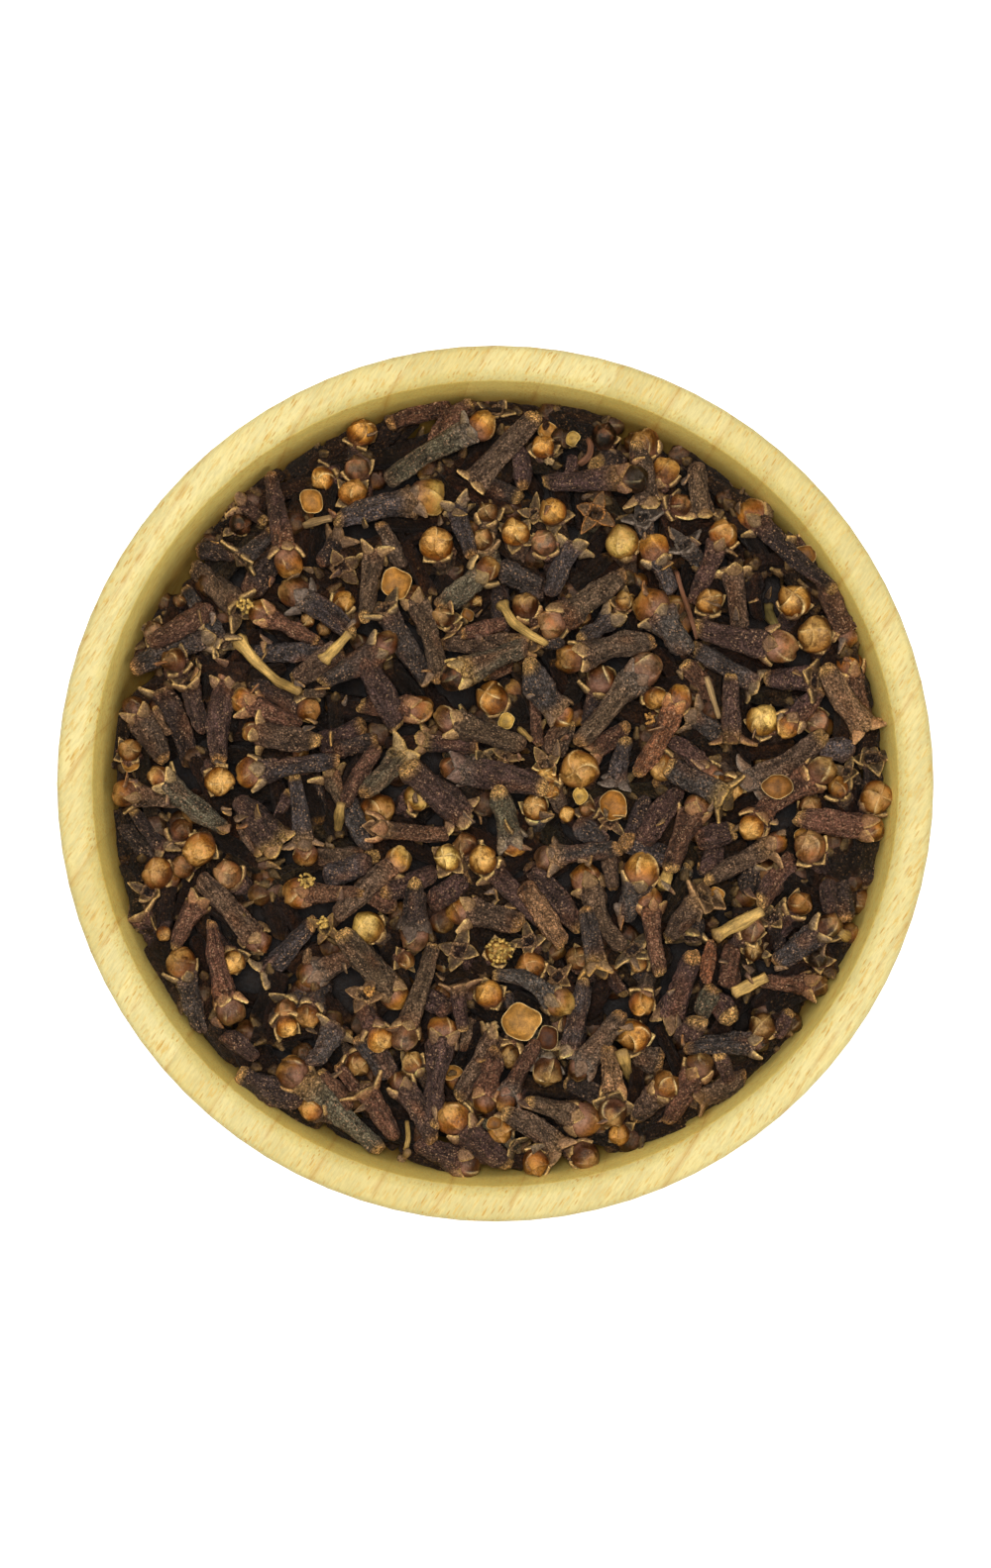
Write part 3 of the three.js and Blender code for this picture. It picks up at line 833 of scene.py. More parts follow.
B 0 0 625 1144 0 - g 5 r=11
W 530 1112 588 1130 25 b t 9 r=19
O 507 1121 565 1160 26 b - 8 o=0.8 c=t
W 553 1160 540 1173 22 b O 7 r=14 p=50
W 515 1125 505 1141 20 p O 6 r=13 p=45
C 0 0 499 1133 0 - o 6 r=8
O 510 1150 522 1158 14 o - 6 p=45
W 575 1160 590 1166 22 p r 6 r=15 p=45
W 545 1055 552 1081 22 o b 6 r=16 p=55 c=s
N 570 1093 612 1108 20 d - 4
W 628 958 591 887 24 b g 8 r=16
O 591 915 602 978 22 s - 8 o=0.5 c=g
W 666 984 655 908 19 r o 9 r=13
W 632 931 648 879 26 s G 9 r=18 p=20
S 675,876 668,896 w=12 y - 9
W 676 880 702 813 24 r m 9 r=13
N 684 797 650 850 26 p - 8
N 652 803 633 850 20 d - 6
O 632 745 621 791 20 s - 8 o=1 c=s
C 0 0 618 813 0 - O 7 r=17
O 612 818 616 832 14 r - 6 p=50
W 600 838 592 816 18 p b 5 r=9 p=50
B 0 0 572 822 0 - g 5 r=8
C 0 0 585 803 0 - y 8 r=9
N 583 829 608 853 26 s - 5
N 629 847 684 868 24 s - 7
N 619 898 612 860 18 b - 7
O 672 772 733 806 29 s - 9 o=0.8 c=y
W 690 760 668 775 20 b o 7 r=14 p=45
W 672 744 717 785 20 p O 8 r=14
N 659 791 687 785 18 d - 6
N 742 839 702 849 24 p - 7
N 716 886 720 850 23 p - 6
N 694 873 690 890 14 o - 5
N 707 872 712 885 14 d - 5
O 700 922 697 948 24 s - 8 o=0.8
O 673 948 711 904 26 b - 8 o=0.9 c=t
C 0 0 722 903 0 - g 7 r=9
O 650 985 638 958 22 s - 6 p=40 a=60 o=1
B 0 0 644 973 0 - t 6 r=9
N 629 1005 616 981 15 p - 6
W 595 985 584 967 20 p b 6 r=13 p=55
O 575 1000 562 985 16 r - 7 p=55 a=45
O 590 986 576 1060 25 s - 7
N 585 938 533 873 24 p - 7
W 553 934 497 878 26 p - 7 nob=1
N 568 955 527 893 22 t - 8
O 545 965 533 949 18 p - 6 p=55 o=1
O 275 535 243 566 20 s - 5 o=0.8 a=100
B 0 0 243 530 0 - d 2 r=12
O 268 528 246 508 18 p - 4 o=0.8
N 200 557 238 561 20 d - 3
T 0 0 247 612 0 - y 9 r=10
T 0 0 326 931 0 - y 9 r=7
T 0 0 373 1000 0 - o 8 r=6
"""


# ---------------------------------------------------------------- the heap, piece on piece
GRID = 0.25
CELLS = 512
HALF = GRID * CELLS / 2
axis_mm = (np.arange(CELLS) + 0.5) * GRID - HALF
gx, gy = np.meshgrid(axis_mm, axis_mm)
CORE_Z = 38.5


def bank(x, y):
    """How much higher the heap stands at x, y: it lies banked up against one side of the bowl."""
    lean = np.cos(np.arctan2(y, x) + math.radians(57))
    return (3.6 * smooth(-0.5, 0.0, lean) - 0.7) * smooth(34.0, 55.0, np.hypot(x, y))


def core_top(x, y):
    """Height of the dark core under the cloves, in mm."""
    p = np.stack([x * 0.28, y * 0.28, 0 * x], -1)
    return CORE_Z + bank(x, y) + 1.6 * noise(p + 7.3, 1) + 0.8 * noise(p * 2.3 + 3.1, 2) + 1.2 * (1 - (x**2 + y**2) / 57.0**2)


dist = np.hypot(gx, gy)
wall_z = np.interp(dist, well_radius(np.linspace(38, 57, 60)) + 0.25, np.linspace(38, 57, 60), left=0, right=57)
height = np.maximum(core_top(gx, gy), wall_z)
_discs = {}


def disc(r):
    key = max(1, int(round(r / 0.1)))
    if key not in _discs:
        rr = key * 0.1
        n = int(math.ceil(rr / GRID))
        o = np.arange(-n, n + 1)
        dy, dx = np.meshgrid(o, o, indexing="ij")
        d = np.hypot(dx, dy) * GRID
        m = d <= rr
        _discs[key] = (dy[m], dx[m], np.sqrt(np.maximum(rr**2 - d[m] ** 2, 0)))
    return _discs[key]


def cell_of(x, y):
    return int((x + HALF) / GRID), int((y + HALF) / GRID)


def support(x, y, r, give=0.86):
    """Height of a ball's centre, r in radius, that rests on the heap at x, y."""
    dy, dx, drop = disc(r * give)
    i, j = cell_of(x, y)
    return float((height[np.clip(j + dy, 0, CELLS - 1), np.clip(i + dx, 0, CELLS - 1)] + drop).max())


def stamp(x, y, z, r):
    dy, dx, drop = disc(r)
    i, j = cell_of(x, y)
    jj, ii = np.clip(j + dy, 0, CELLS - 1), np.clip(i + dx, 0, CELLS - 1)
    height[jj, ii] = np.maximum(height[jj, ii], z + drop)


def place(u, v, z):
    """The point at height z that the camera sees at u, v mm from the axis on the rim's plane."""
    k = (EYE_Z - z) / (EYE_Z - RIM_Z)
    return np.array([u * k, v * k, z])


def inside(p, r):
    """p moved in, so that a ball of radius r about it clears the bowl's wall."""
    d = math.hypot(p[0], p[1])
    room = float(well_radius(p[2] - 0.2 * r)) - r * 0.72
    if d > room > 0:
        p = np.array([p[0] * room / d, p[1] * room / d, p[2]])
    return p


def settle(s, h, rs, rh, rm, most=0.5):
    """Lays a rod from s to h (plan points) down on the heap: the two heights of its ends."""
    s, h = np.asarray(s, float)[:2], np.asarray(h, float)[:2]
    ln = max(np.linalg.norm(h - s), 0.5)
    n = max(3, int(ln / 0.6))
    t = np.linspace(0, 1, n)
    need = []
    for q in t:
        p = s + (h - s) * q
        r = rh if q > 1 - rh / ln else rm
        need.append(support(p[0], p[1], r))
    need = np.array(need)
    best = None
    for slope in np.linspace(-most, most, 25):
        a = float((need - slope * (t - 0.55) * ln).max())
        cost = a + 0.35 * abs(slope)
        if best is None or cost < best[0]:
            best = (cost, a, slope)
    _, a, slope = best
    return a - slope * 0.55 * ln, a + slope * 0.45 * ln


def imprint(s, h, rm, rh):
    ln = np.linalg.norm(h - s)
    n = max(2, int(ln / 0.3))
    for q in np.linspace(0, 1, n):
        p = s + (h - s) * q
        stamp(p[0], p[1], p[2], rh if q > 1 - rh / max(ln, 0.1) * 0.6 else rm)


def target(layer, u, v):
    """Height of a bud's centre that stands between others, by how much it is overlapped."""
    return 44.6 + 0.72 * layer + float(bank(u, v))


def parse(text):
    rows = []
    for line in text.strip().splitlines():
        f = line.split()
        kind = f[0]
        if kind == "S":
            pts, k = [], 1
            while "," in f[k]:
                a, b = f[k].split(",")
                pts.append(((float(a) - CENTRE[0]) * PX, (CENTRE[1] - float(b)) * PX))
                k += 1
            rest = f[k:]
            opts = dict(q.split("=") for q in rest if "=" in q)
            words = [q for q in rest if "=" not in q]
            rows.append(dict(kind="S", pts=pts, w=float(opts.pop("w", 8)) * PX, tone=words[0], layer=int(words[2]), opts=opts))
            continue
        sx, sy, hx, hy, w = (float(q) for q in f[1:6])
        opts = dict(q.split("=") for q in f[9:] if "=" in q)
        if "nob" in f[9:]:
            opts["nob"] = "1"
        to = lambda a, b: ((a - CENTRE[0]) * PX, (CENTRE[1] - b) * PX)
        rows.append(dict(kind=kind, s=to(sx, sy), h=to(hx, hy), w=w * PX * 0.92, tone=f[6], bud=f[7], layer=int(f[8]), opts=opts))
    return rows


PIECES = sorted(parse(TABLE), key=lambda r: r["layer"])

whole = Kind("whole_clove_stems")
calyxes = Kind("open_calyx_stems")
bare = Kind("bare_clove_stems")
ring_stems = Kind("cloves_along_wall")
buds = Kind("clove_buds")
sepals = Kind("calyx_lobes", 0.6)
caps = Kind("petal_caps", 2.0)
straws = Kind("straw_stalks", 0.5)
tufts = Kind("stamen_tufts", 0.5)
under = Kind("under_cloves")
under_buds = Kind("under_buds")
under_lobes = Kind("under_lobes", 0.6)
crumbs = Kind("loose_crumbs", 0.8)

# the cloves under the ones that show: laid at random on the core, each on what is below it
fill = np.random.default_rng(77)
for n in range(660):
    near_wall = n >= 400
    q = fill.uniform(50.0, 56.0) if near_wall else math.sqrt(fill.uniform(0, 1)) * 55.0
    a = fill.uniform(0, 2 * math.pi)
    d = a + fill.normal(0.5 * math.pi, 0.6) if near_wall else fill.uniform(0, 2 * math.pi)
    ln, w = fill.uniform(8.5, 12.5), fill.uniform(2.6, 3.6)
    m = np.array([q * math.cos(a), q * math.sin(a)])
    step = np.array([math.cos(d), math.sin(d)]) * ln / 2
    s, h = m - step, m + step
    ps, ph = inside(np.array([*s, 44.0]), w / 2), inside(np.array([*h, 44.0]), w / 2)
    raised = float(bank(*m))
    if n >= 560 and raised < 1.5:
        continue
    zs, zh = settle(ps, ph, w / 2, w / 2, w / 2, 0.7)
    if max(zs, zh) > (47.5 if near_wall else 46.0) + raised:
        continue
    ps[2], ph[2] = zs, zh
    tone = str(fill.choice(list("pppddsrbbo")))
    fr = make_stem(under, ps, ph, w, tone, roll=fill.uniform(0, 6), hollow=fill.random() < 0.4, cols=16, rows=8, rng=fill)
    rh = w / 2
    if fill.random() < 0.55:
        rh = fill.uniform(1.6, 2.1)
        c = ph + fr["axis"] * rh * 0.5
        make_bud(under_buds, c, fr["axis"], fr["x"], fr["y"], rh, str(fill.choice(list("gorbpOb"))), rows=8, rng=fill, fine_cols=False)
    make_sepals(under_lobes, fr, rh if rh > w / 2 else 0, 0.6, "", tone, size=0.95, rng=fill, skip=0.3, rows=6, cols=6)
    imprint(ps, ph, w / 2, rh)

levels = {}
for piece in PIECES:
    rng = np.random.default_rng(abs(hash((round(piece.get("w", 1) * 1000), piece["layer"], round((piece.get("h") or piece["pts"][0])[0] * 1000)))) % (2**31))
    o, k, layer = piece["opts"], piece["kind"], piece["layer"]
    num = lambda name, default: float(o[name]) if name in o else default
    if k == "S":
        zs = []
        for u, v in piece["pts"]:
            p = inside(place(u, v, 50.0), piece["w"] / 2)
            zs.append([p[0], p[1], support(p[0], p[1], piece["w"] / 2, 0.9)])
        zs = np.array(zs)
        dense = []
        for a, b in zip(zs[:-1], zs[1:]):
            for q in np.linspace(0, 1, 6)[:-1]:
                m = a + (b - a) * q
                m[2] = support(m[0], m[1], piece["w"] / 2, 0.9)
                dense.append(m)
        dense.append(zs[-1])
        dense = np.array(dense)
        lo = dense[:, 2].copy()
        for _ in range(8):  # it bridges gaps, and touches only the high spots
            z = dense[:, 2]
            mid = (z[:-2] + z[2:]) / 2
            z[1:-1] = np.maximum(lo[1:-1] - 0.15, mid)
        colour = linear({"y": (210, 168, 92), "s": STRAW, "r": (136, 90, 62), "t": (182, 146, 96), "b": (130, 100, 66), "o": (136, 116, 62)}.get(piece["tone"], STRAW))
        make_strand(straws, dense, piece["w"] * 1.05, piece["w"] * 0.8, colour, rng, cols=14, knob=0.5 if "knob" in o else 0.0)
        for m in dense:
            stamp(m[0], m[1], m[2], piece["w"] / 2)
        continue
    w = piece["w"]
    r = num("r", 12) * PX
    if k in "BCT":
        u, v = piece["h"]
        rr = r * (0.6 if k == "C" else 0.9)
        goal = target(layer, u, v)
        p = inside(place(u, v, goal), r)
        z = support(p[0], p[1], rr)
        z = max(z - 0.3, goal) if k == "B" else (z if z > goal - 2.5 else goal - 1.5)
        z = min(z, 53.0)
        p = inside(place(u, v, z), r)
        tilt = (rng.normal(0, 0.2), rng.normal(0, 0.2))
        if k == "B":
            ax = unit([rng.normal(0, 0.35), rng.normal(0, 0.35), 1])
            x, y = side_frame(ax, rng.uniform(0, 6))
            foot = inside(p - ax * 8.5, 1.6)
            fr = make_stem(whole, foot, p - ax * r * 0.6, min(2 * r * 0.85, 3.2), "p", roll=rng.uniform(0, 6), rng=rng, rows=7, cols=16)
            make_bud(buds, p, ax, x, y, r, piece["bud"], rng.uniform(0.95, 1.15), 0.3 + 0.5 * (rng.random() < 0.35), rng.uniform(0, 0.6), rng=rng)
            if r > 1.2:
                make_sepals(sepals, fr, r, 0.45, "", "b", size=0.85, rng=rng)
            stamp(p[0], p[1], p[2], r)
        elif k == "C":
            make_cup(caps, p + np.array([0, 0, r * 0.66]), r, piece["bud"], tilt, rng)
            stamp(p[0], p[1], p[2], r * 0.8)
        else:
            make_tuft(tufts, p + np.array([0, 0, 0.2]), r, linear({"y": (206, 166, 84), "o": (196, 140, 70), "t": (170, 138, 92)}.get(piece["bud"], TAN)), rng, count=int(14 + r * 16))
            stamp(p[0], p[1], p[2], r * 0.7)
        levels.setdefault(layer, []).append(z)
        continue
    (su, sv), (hu, hv) = piece["s"], piece["h"]
    has_bud = k == "W" and "nob" not in o
    rb = r if has_bud else w / 2
    br = num("br", 1.0)
    tilted = "p" in o or "up" in o
    if tilted:
        pitch = math.radians(num("p", num("up", 0)))
        plan = unit([hu - su, hv - sv, 0])
        shown = math.hypot(hu - su, hv - sv)
        full = float(np.clip(max(shown / max(math.cos(pitch), 0.2), 9.5 if pitch > 0.75 else 7.0), 5, 13.5))
        goal = target(layer, hu, hv)
        p = inside(place(hu, hv, goal), rb)
        z = support(p[0], p[1], rb, 0.72)
        z = min(max(z - 0.35, goal), 53.0)
        ph = inside(place(hu, hv, z), rb)
        ax = unit([plan[0] * math.cos(pitch), plan[1] * math.cos(pitch), math.sin(pitch)])
        ps = ph - ax * full
        if "up" in o:  # it lies with only its head raised
            ps[2] = max(ps[2], 44.8)
            ps[:2] = place(su, sv, ps[2])[:2]
        ps = inside(ps, w / 2)
        if ps[2] < 36:
            ps = ph + (ps - ph) * (ph[2] - 36) / (ph[2] - ps[2])
    else:
        p0, p1 = inside(place(su, sv, 48.5), w / 2), inside(place(hu, hv, 48.5), rb)
        zs, zh = settle(p0, p1, w / 2, rb * 0.95, w / 2 * 0.94)
        over = max(zs, zh) - 54.0
        if over > 0:
            zs, zh = zs - over, zh - over
        floor_z = target(layer, (su + hu) / 2, (sv + hv) / 2) - 3.2
        under_by = floor_z - (zs + zh) / 2
        if under_by > 0:
            zs, zh = zs + under_by, zh + under_by
        ps, ph = inside(place(su, sv, zs), w / 2), inside(place(hu, hv, zh), rb)
    levels.setdefault(layer, []).append(ph[2])
    ax = unit(ph - ps)
    tone = piece["tone"]
    ctone = o.get("c", "")
    if "a" in o:  # turn the lobes to the angle that shows
        x0, y0 = side_frame(ax, 0.0)
        want = np.array([math.cos(math.radians(num("a", 0))), math.sin(math.radians(num("a", 0))), 0.0])
        roll = math.atan2(float(want @ y0), float(want @ x0))
    else:
        roll = rng.uniform(0, 2 * math.pi)
    if k == "N":
        make_stem(bare, ps, ph, w, tone, roll=roll, bare=True, cut=rng.random() < 0.75, rng=rng)
        imprint(ps, ph, w / 2, w / 2)
        continue
    if has_bud:
        top = ph - ax * rb * br * 0.62
        fr = make_stem(whole, ps, top, w, tone, top=ctone or None, roll=roll, cut=rng.random() < 0.75, rng=rng, flare=min(1.14, 0.95 * rb / (w / 2)) if rb > w / 2 else 0.92)
        seam = 0.85 if "seam" in o else float(rng.choice([0.15, 0.4, 0.6]))
        patch = 0.8 if piece["bud"] in "mp" else float(rng.choice([0.0, 0.25, 0.55]))
        make_bud(buds, ph, fr["axis"], fr["x"], fr["y"], rb, piece["bud"], br, seam, patch, rng=rng)
        make_sepals(sepals, fr, rb, num("o", 0.32), ctone, tone, rng=rng)
        imprint(ps, ph, w / 2, rb)
    else:
        open_by = num("o", 0.6)
        fr = make_stem(calyxes, ps, ph, w, tone, top=ctone or None, roll=roll, hollow=True, cut=rng.random() < 0.75, rng=rng)
        make_sepals(sepals, fr, 0, open_by, ctone or "", tone, size=1.12, rng=rng, skip=0.02)
        imprint(ps, ph, w / 2, w / 2)

# what is left open between them: more cloves, deep in the gaps and close along the wall
def laid(ps, ph, w, tone, cols, rows, kind, bud, rng):
    fr = make_stem(kind, ps, ph, w, tone, roll=rng.uniform(0, 6), hollow=not bud and rng.random() < 0.5, cols=cols, rows=rows, rng=rng, cut=rng.random() < 0.4)
    if bud:
        make_bud(under_buds, ph + fr["axis"] * bud * 0.5, fr["axis"], fr["x"], fr["y"], bud, str(rng.choice(list("gorbpOb"))), rows=8, rng=rng, fine_cols=False)
    make_sepals(under_lobes, fr, bud, 0.5, "", tone, size=0.9, rng=rng, skip=0.25, rows=6, cols=6)


gaps = np.random.default_rng(5)
added = 0
for n in range(5000):
    ringed = n < 900
    q = gaps.uniform(52.5, 56.0) if ringed else math.sqrt(gaps.uniform(0, 1)) * 55.0
    a = gaps.uniform(0, 2 * math.pi)
    x0, y0 = q * math.cos(a), q * math.sin(a)
    i, j = cell_of(x0, y0)
    here = height[j - 2 : j + 3, i - 2 : i + 3].mean()
    raised = float(bank(x0, y0))
    if here > (46.4 if ringed else 45.9) + raised or added > 190:
        continue
    w, ln = gaps.uniform(2.4, 3.3), gaps.uniform(7.0, 11.0)
    z0 = (gaps.uniform(44.9, 46.6) if ringed else gaps.uniform(43.8, 45.4)) + raised
    best = None
    for d in np.linspace(0, math.pi, 9)[:-1] + gaps.uniform(0, 0.4):
        step = np.array([math.cos(d), math.sin(d)])
        if ringed and abs(step @ np.array([math.cos(a), math.sin(a)])) > 0.8:
            continue
        cost = 0
        for k in np.linspace(-0.5, 0.5, 9):
            ii, jj = cell_of(x0 + step[0] * k * ln, y0 + step[1] * k * ln)
            cost += max(0.0, height[np.clip(jj, 0, CELLS - 1), np.clip(ii, 0, CELLS - 1)] - z0 - 0.4 * w)
        if best is None or cost < best[0]:
            best = (cost, step)
    if best is None or best[0] > (14 if ringed else 22):
        continue
    step = best[1] * gaps.choice([-1, 1])
    dip = gaps.uniform(-0.8, 0.8)
    ps = inside(np.array([x0 - step[0] * ln / 2, y0 - step[1] * ln / 2, z0 - dip]), w / 2)
    ph = inside(np.array([x0 + step[0] * ln / 2, y0 + step[1] * ln / 2, z0 + dip]), w / 2)
    bud = gaps.uniform(1.5, 2.0) if gaps.random() < 0.45 else 0
    laid(ps, ph, w, str(gaps.choice(list("ppddrsbbro"))), 20 if ringed else 16, 11 if ringed else 8, ring_stems if ringed else under, bud, gaps)
    imprint(ps, ph, w / 2, w / 2)
    added += 1
print("GAPS", added)

# loose bits of lobe over the top, lodged mostly in the hollows
loose = np.random.default_rng(19)
for n in range(220):
    q, a = math.sqrt(loose.uniform(0, 1)) * 55.5, loose.uniform(0, 2 * math.pi)
    x0, y0 = q * math.cos(a), q * math.sin(a)
    i, j = cell_of(x0, y0)
    near = height[j - 4 : j + 5, i - 4 : i + 5]
    if near.max() - height[j, i] < 0.7 and loose.random() < 0.8:
        continue  # crumbs lodge in the hollows
    z = support(x0, y0, 0.5, 0.8) + 0.1
    d = unit([loose.normal(), loose.normal(), loose.normal() * 0.35])
    out = unit(np.cross(d, [0, 0, 1.0]) + np.array([0, 0, loose.uniform(-1, 1)]))
    out = unit(out - d * float(out @ d))
    tone = linear(STEM[str(loose.choice(list("pdsbrb")))])
    edge = linear(CALYX[str(loose.choice(list("ttoygO")))])
    size = loose.uniform(0.5, 0.9)
    make_sepal(crumbs, np.array([x0, y0, z]) - d * 0.8, out, d, 2.6 * size, 1.7 * size, 0.1, loose.uniform(-0.8, 0.9), loose.uniform(0.45, 0.8), tone * 0.7 + edge * 0.1, tone * 0.8 + edge * 0.2, edge, loose)

for layer in sorted(levels):
    q = np.array(levels[layer])
    print("LEVEL", layer, len(q), "%.1f %.1f %.1f" % (q.min(), q.mean(), q.max()))


# ---------------------------------------------------------------- materials
class Net:
    """A short way to write a node tree."""

    def __init__(self, name):
        self.mat = bpy.data.materials.new(name)
        self.mat.use_nodes = True
        self.nt = self.mat.node_tree
        self.nt.nodes.clear()
        self.out = self.add("ShaderNodeOutputMaterial")
        self.bsdf = self.add("ShaderNodeBsdfPrincipled")
        self.nt.links.new(self.bsdf.outputs[0], self.out.inputs[0])

    def add(self, kind, **props):
        n = self.nt.nodes.new(kind)
        for k, v in props.items():
            setattr(n, k, v)
        return n

    def put(self, socket, value):
        if isinstance(value, bpy.types.NodeSocket):
            self.nt.links.new(value, socket)
        else:
            socket.default_value = value

    def attr(self, name, out="Color"):
        return self.add("ShaderNodeAttribute", attribute_type="GEOMETRY", attribute_name=name).outputs[out]

    def math(self, op, a, b=0.0, c=0.0, clamp=False):
        n = self.add("ShaderNodeMath", operation=op, use_clamp=clamp)
        for s, v in zip(n.inputs, (a, b, c)):
            self.put(s, v)
        return n.outputs[0]

    def vec(self, op, a, b=(0, 0, 0)):
        n = self.add("ShaderNodeVectorMath", operation=op)
        self.put(n.inputs[0], a)
        if op == "SCALE":
            self.put(n.inputs["Scale"], b)
        else:
            self.put(n.inputs[1], b)
        return n.outputs[0]

    def step(self, x, lo, hi, a=0.0, b=1.0):
        n = self.add("ShaderNodeMapRange", interpolation_type="SMOOTHSTEP")
        for s, v in zip(n.inputs, (x, lo, hi, a, b)):
            self.put(s, v)
        return n.outputs[0]

    def noise(self, v, scale, detail=3.0, rough=0.55, dim="3D"):
        n = self.add("ShaderNodeTexNoise", noise_dimensions=dim)
        self.put(n.inputs["Vector"], v)
        n.inputs["Scale"].default_value = scale
        n.inputs["Detail"].default_value = detail
        n.inputs["Roughness"].default_value = rough
        return n.outputs[0]

    def add_noise_colour(self, v, scale):
        n = self.add("ShaderNodeTexNoise")
        self.put(n.inputs["Vector"], v)
        n.inputs["Scale"].default_value = scale
        n.inputs["Detail"].default_value = 2.0
        return n.outputs["Color"]

    def voronoi(self, v, scale, out="Distance", feature="F1", dim="3D", rand=1.0):
        n = self.add("ShaderNodeTexVoronoi", voronoi_dimensions=dim, feature=feature)
        self.put(n.inputs["Vector"], v)
        n.inputs["Scale"].default_value = scale
        n.inputs["Randomness"].default_value = rand
        return n.outputs[out]

    def mix(self, f, a, b, mode="MIX"):
        n = self.add("ShaderNodeMix", data_type="RGBA", blend_type=mode)
        self.put(n.inputs[0], f)
        self.put(n.inputs[6], a if isinstance(a, bpy.types.NodeSocket) else (*a, 1.0))
        self.put(n.inputs[7], b if isinstance(b, bpy.types.NodeSocket) else (*b, 1.0))
        return n.outputs[2]

    def times(self, colour, value):
        return self.vec("SCALE", colour, value)

    def bump(self, h, strength, dist, normal=None):
        n = self.add("ShaderNodeBump")
        n.inputs["Strength"].default_value = strength
        n.inputs["Distance"].default_value = dist
        self.put(n.inputs["Height"], h)
        if normal is not None:
            self.put(n.inputs["Normal"], normal)
        return n.outputs[0]

    def finish(self, colour, rough, normal, spec=0.5):
        self.put(self.bsdf.inputs["Base Color"], colour)
        self.put(self.bsdf.inputs["Roughness"], rough)
        self.put(self.bsdf.inputs["Normal"], normal)
        self.bsdf.inputs["Specular IOR Level"].default_value = spec
        return self.mat


def clove_skin(name, gain=1.0, speck=1.0, grain=1.0, dark=0.10, light=2.25, pitting=0.42, cast=(1.0, 1.0, 1.0)):
    """Dried stem: crowded fine grains and lengthwise wrinkles, dusted with small pale specks."""
    n = Net(name)
    g = n.attr("grain", "Vector")
    warp = n.vec("ADD", g, n.vec("SCALE", n.add_noise_colour(g, 1.3), 0.5))
    longwise = n.vec("MULTIPLY", warp, (1.0, 1.0, 0.30))
    mid = n.noise(g, 0.8, 3.0, 0.6)
    streak = n.noise(longwise, 1.5, 3.0, 0.66)
    cells = n.voronoi(warp, 3.0)
    fine = n.noise(warp, 2.9, 4.0, 0.8)
    tone = n.math("ADD", n.math("MULTIPLY", mid, 0.45), n.math("MULTIPLY", streak, 0.8))
    tone = n.math("ADD", tone, n.math("MULTIPLY", fine, 1.5))
    level = n.step(tone, 1.0, 1.80)
    tone = n.step(tone, 1.0, 1.80, dark * gain, light * gain)
    pit = n.step(cells, 0.25, 0.62, 1.2, pitting)
    colour = n.times(n.attr("tint"), n.math("MULTIPLY", tone, pit))
    colour = n.mix(level, n.mix(1.0, colour, (1.0, 0.94, 0.84), "MULTIPLY"), colour)
    pick = n.add("ShaderNodeSeparateColor")
    n.put(pick.inputs[0], n.voronoi(warp, 2.8, "Color"))
    dot = n.math("MULTIPLY", n.step(pick.outputs[0], 0.50, 0.84), n.step(n.voronoi(warp, 2.8), 0.46, 0.22))
    small = n.step(n.noise(n.vec("ADD", g, (11.0, 5.0, 3.0)), 4.6, 2.0, 0.5), 0.60, 0.74)
    dot = n.math("MAXIMUM", dot, n.math("MULTIPLY", small, 0.7))
    dust = n.step(n.noise(g, 0.5, 2.0, 0.5), 0.34, 0.60, 0.30, 1.0)
    dot = n.math("MULTIPLY", n.math("MULTIPLY", dot, dust), speck)
    colour = n.mix(dot, colour, tuple(linear((206, 160, 120))))
    if cast != (1.0, 1.0, 1.0):
        colour = n.mix(1.0, colour, cast, "MULTIPLY")
    h = n.math("ADD", n.math("MULTIPLY", cells, -0.7), n.math("MULTIPLY", fine, 1.2))
    h = n.math("ADD", h, n.math("MULTIPLY", streak, 1.1))
    nor = n.bump(h, 1.0 * grain, 0.00050)
    rough = n.step(fine, 0.3, 0.75, 0.38, 0.64)
    n.bsdf.inputs["Specular Tint"].default_value = (1.0, 0.93, 0.87, 1.0)
    return n.finish(colour, rough, nor, 0.38)


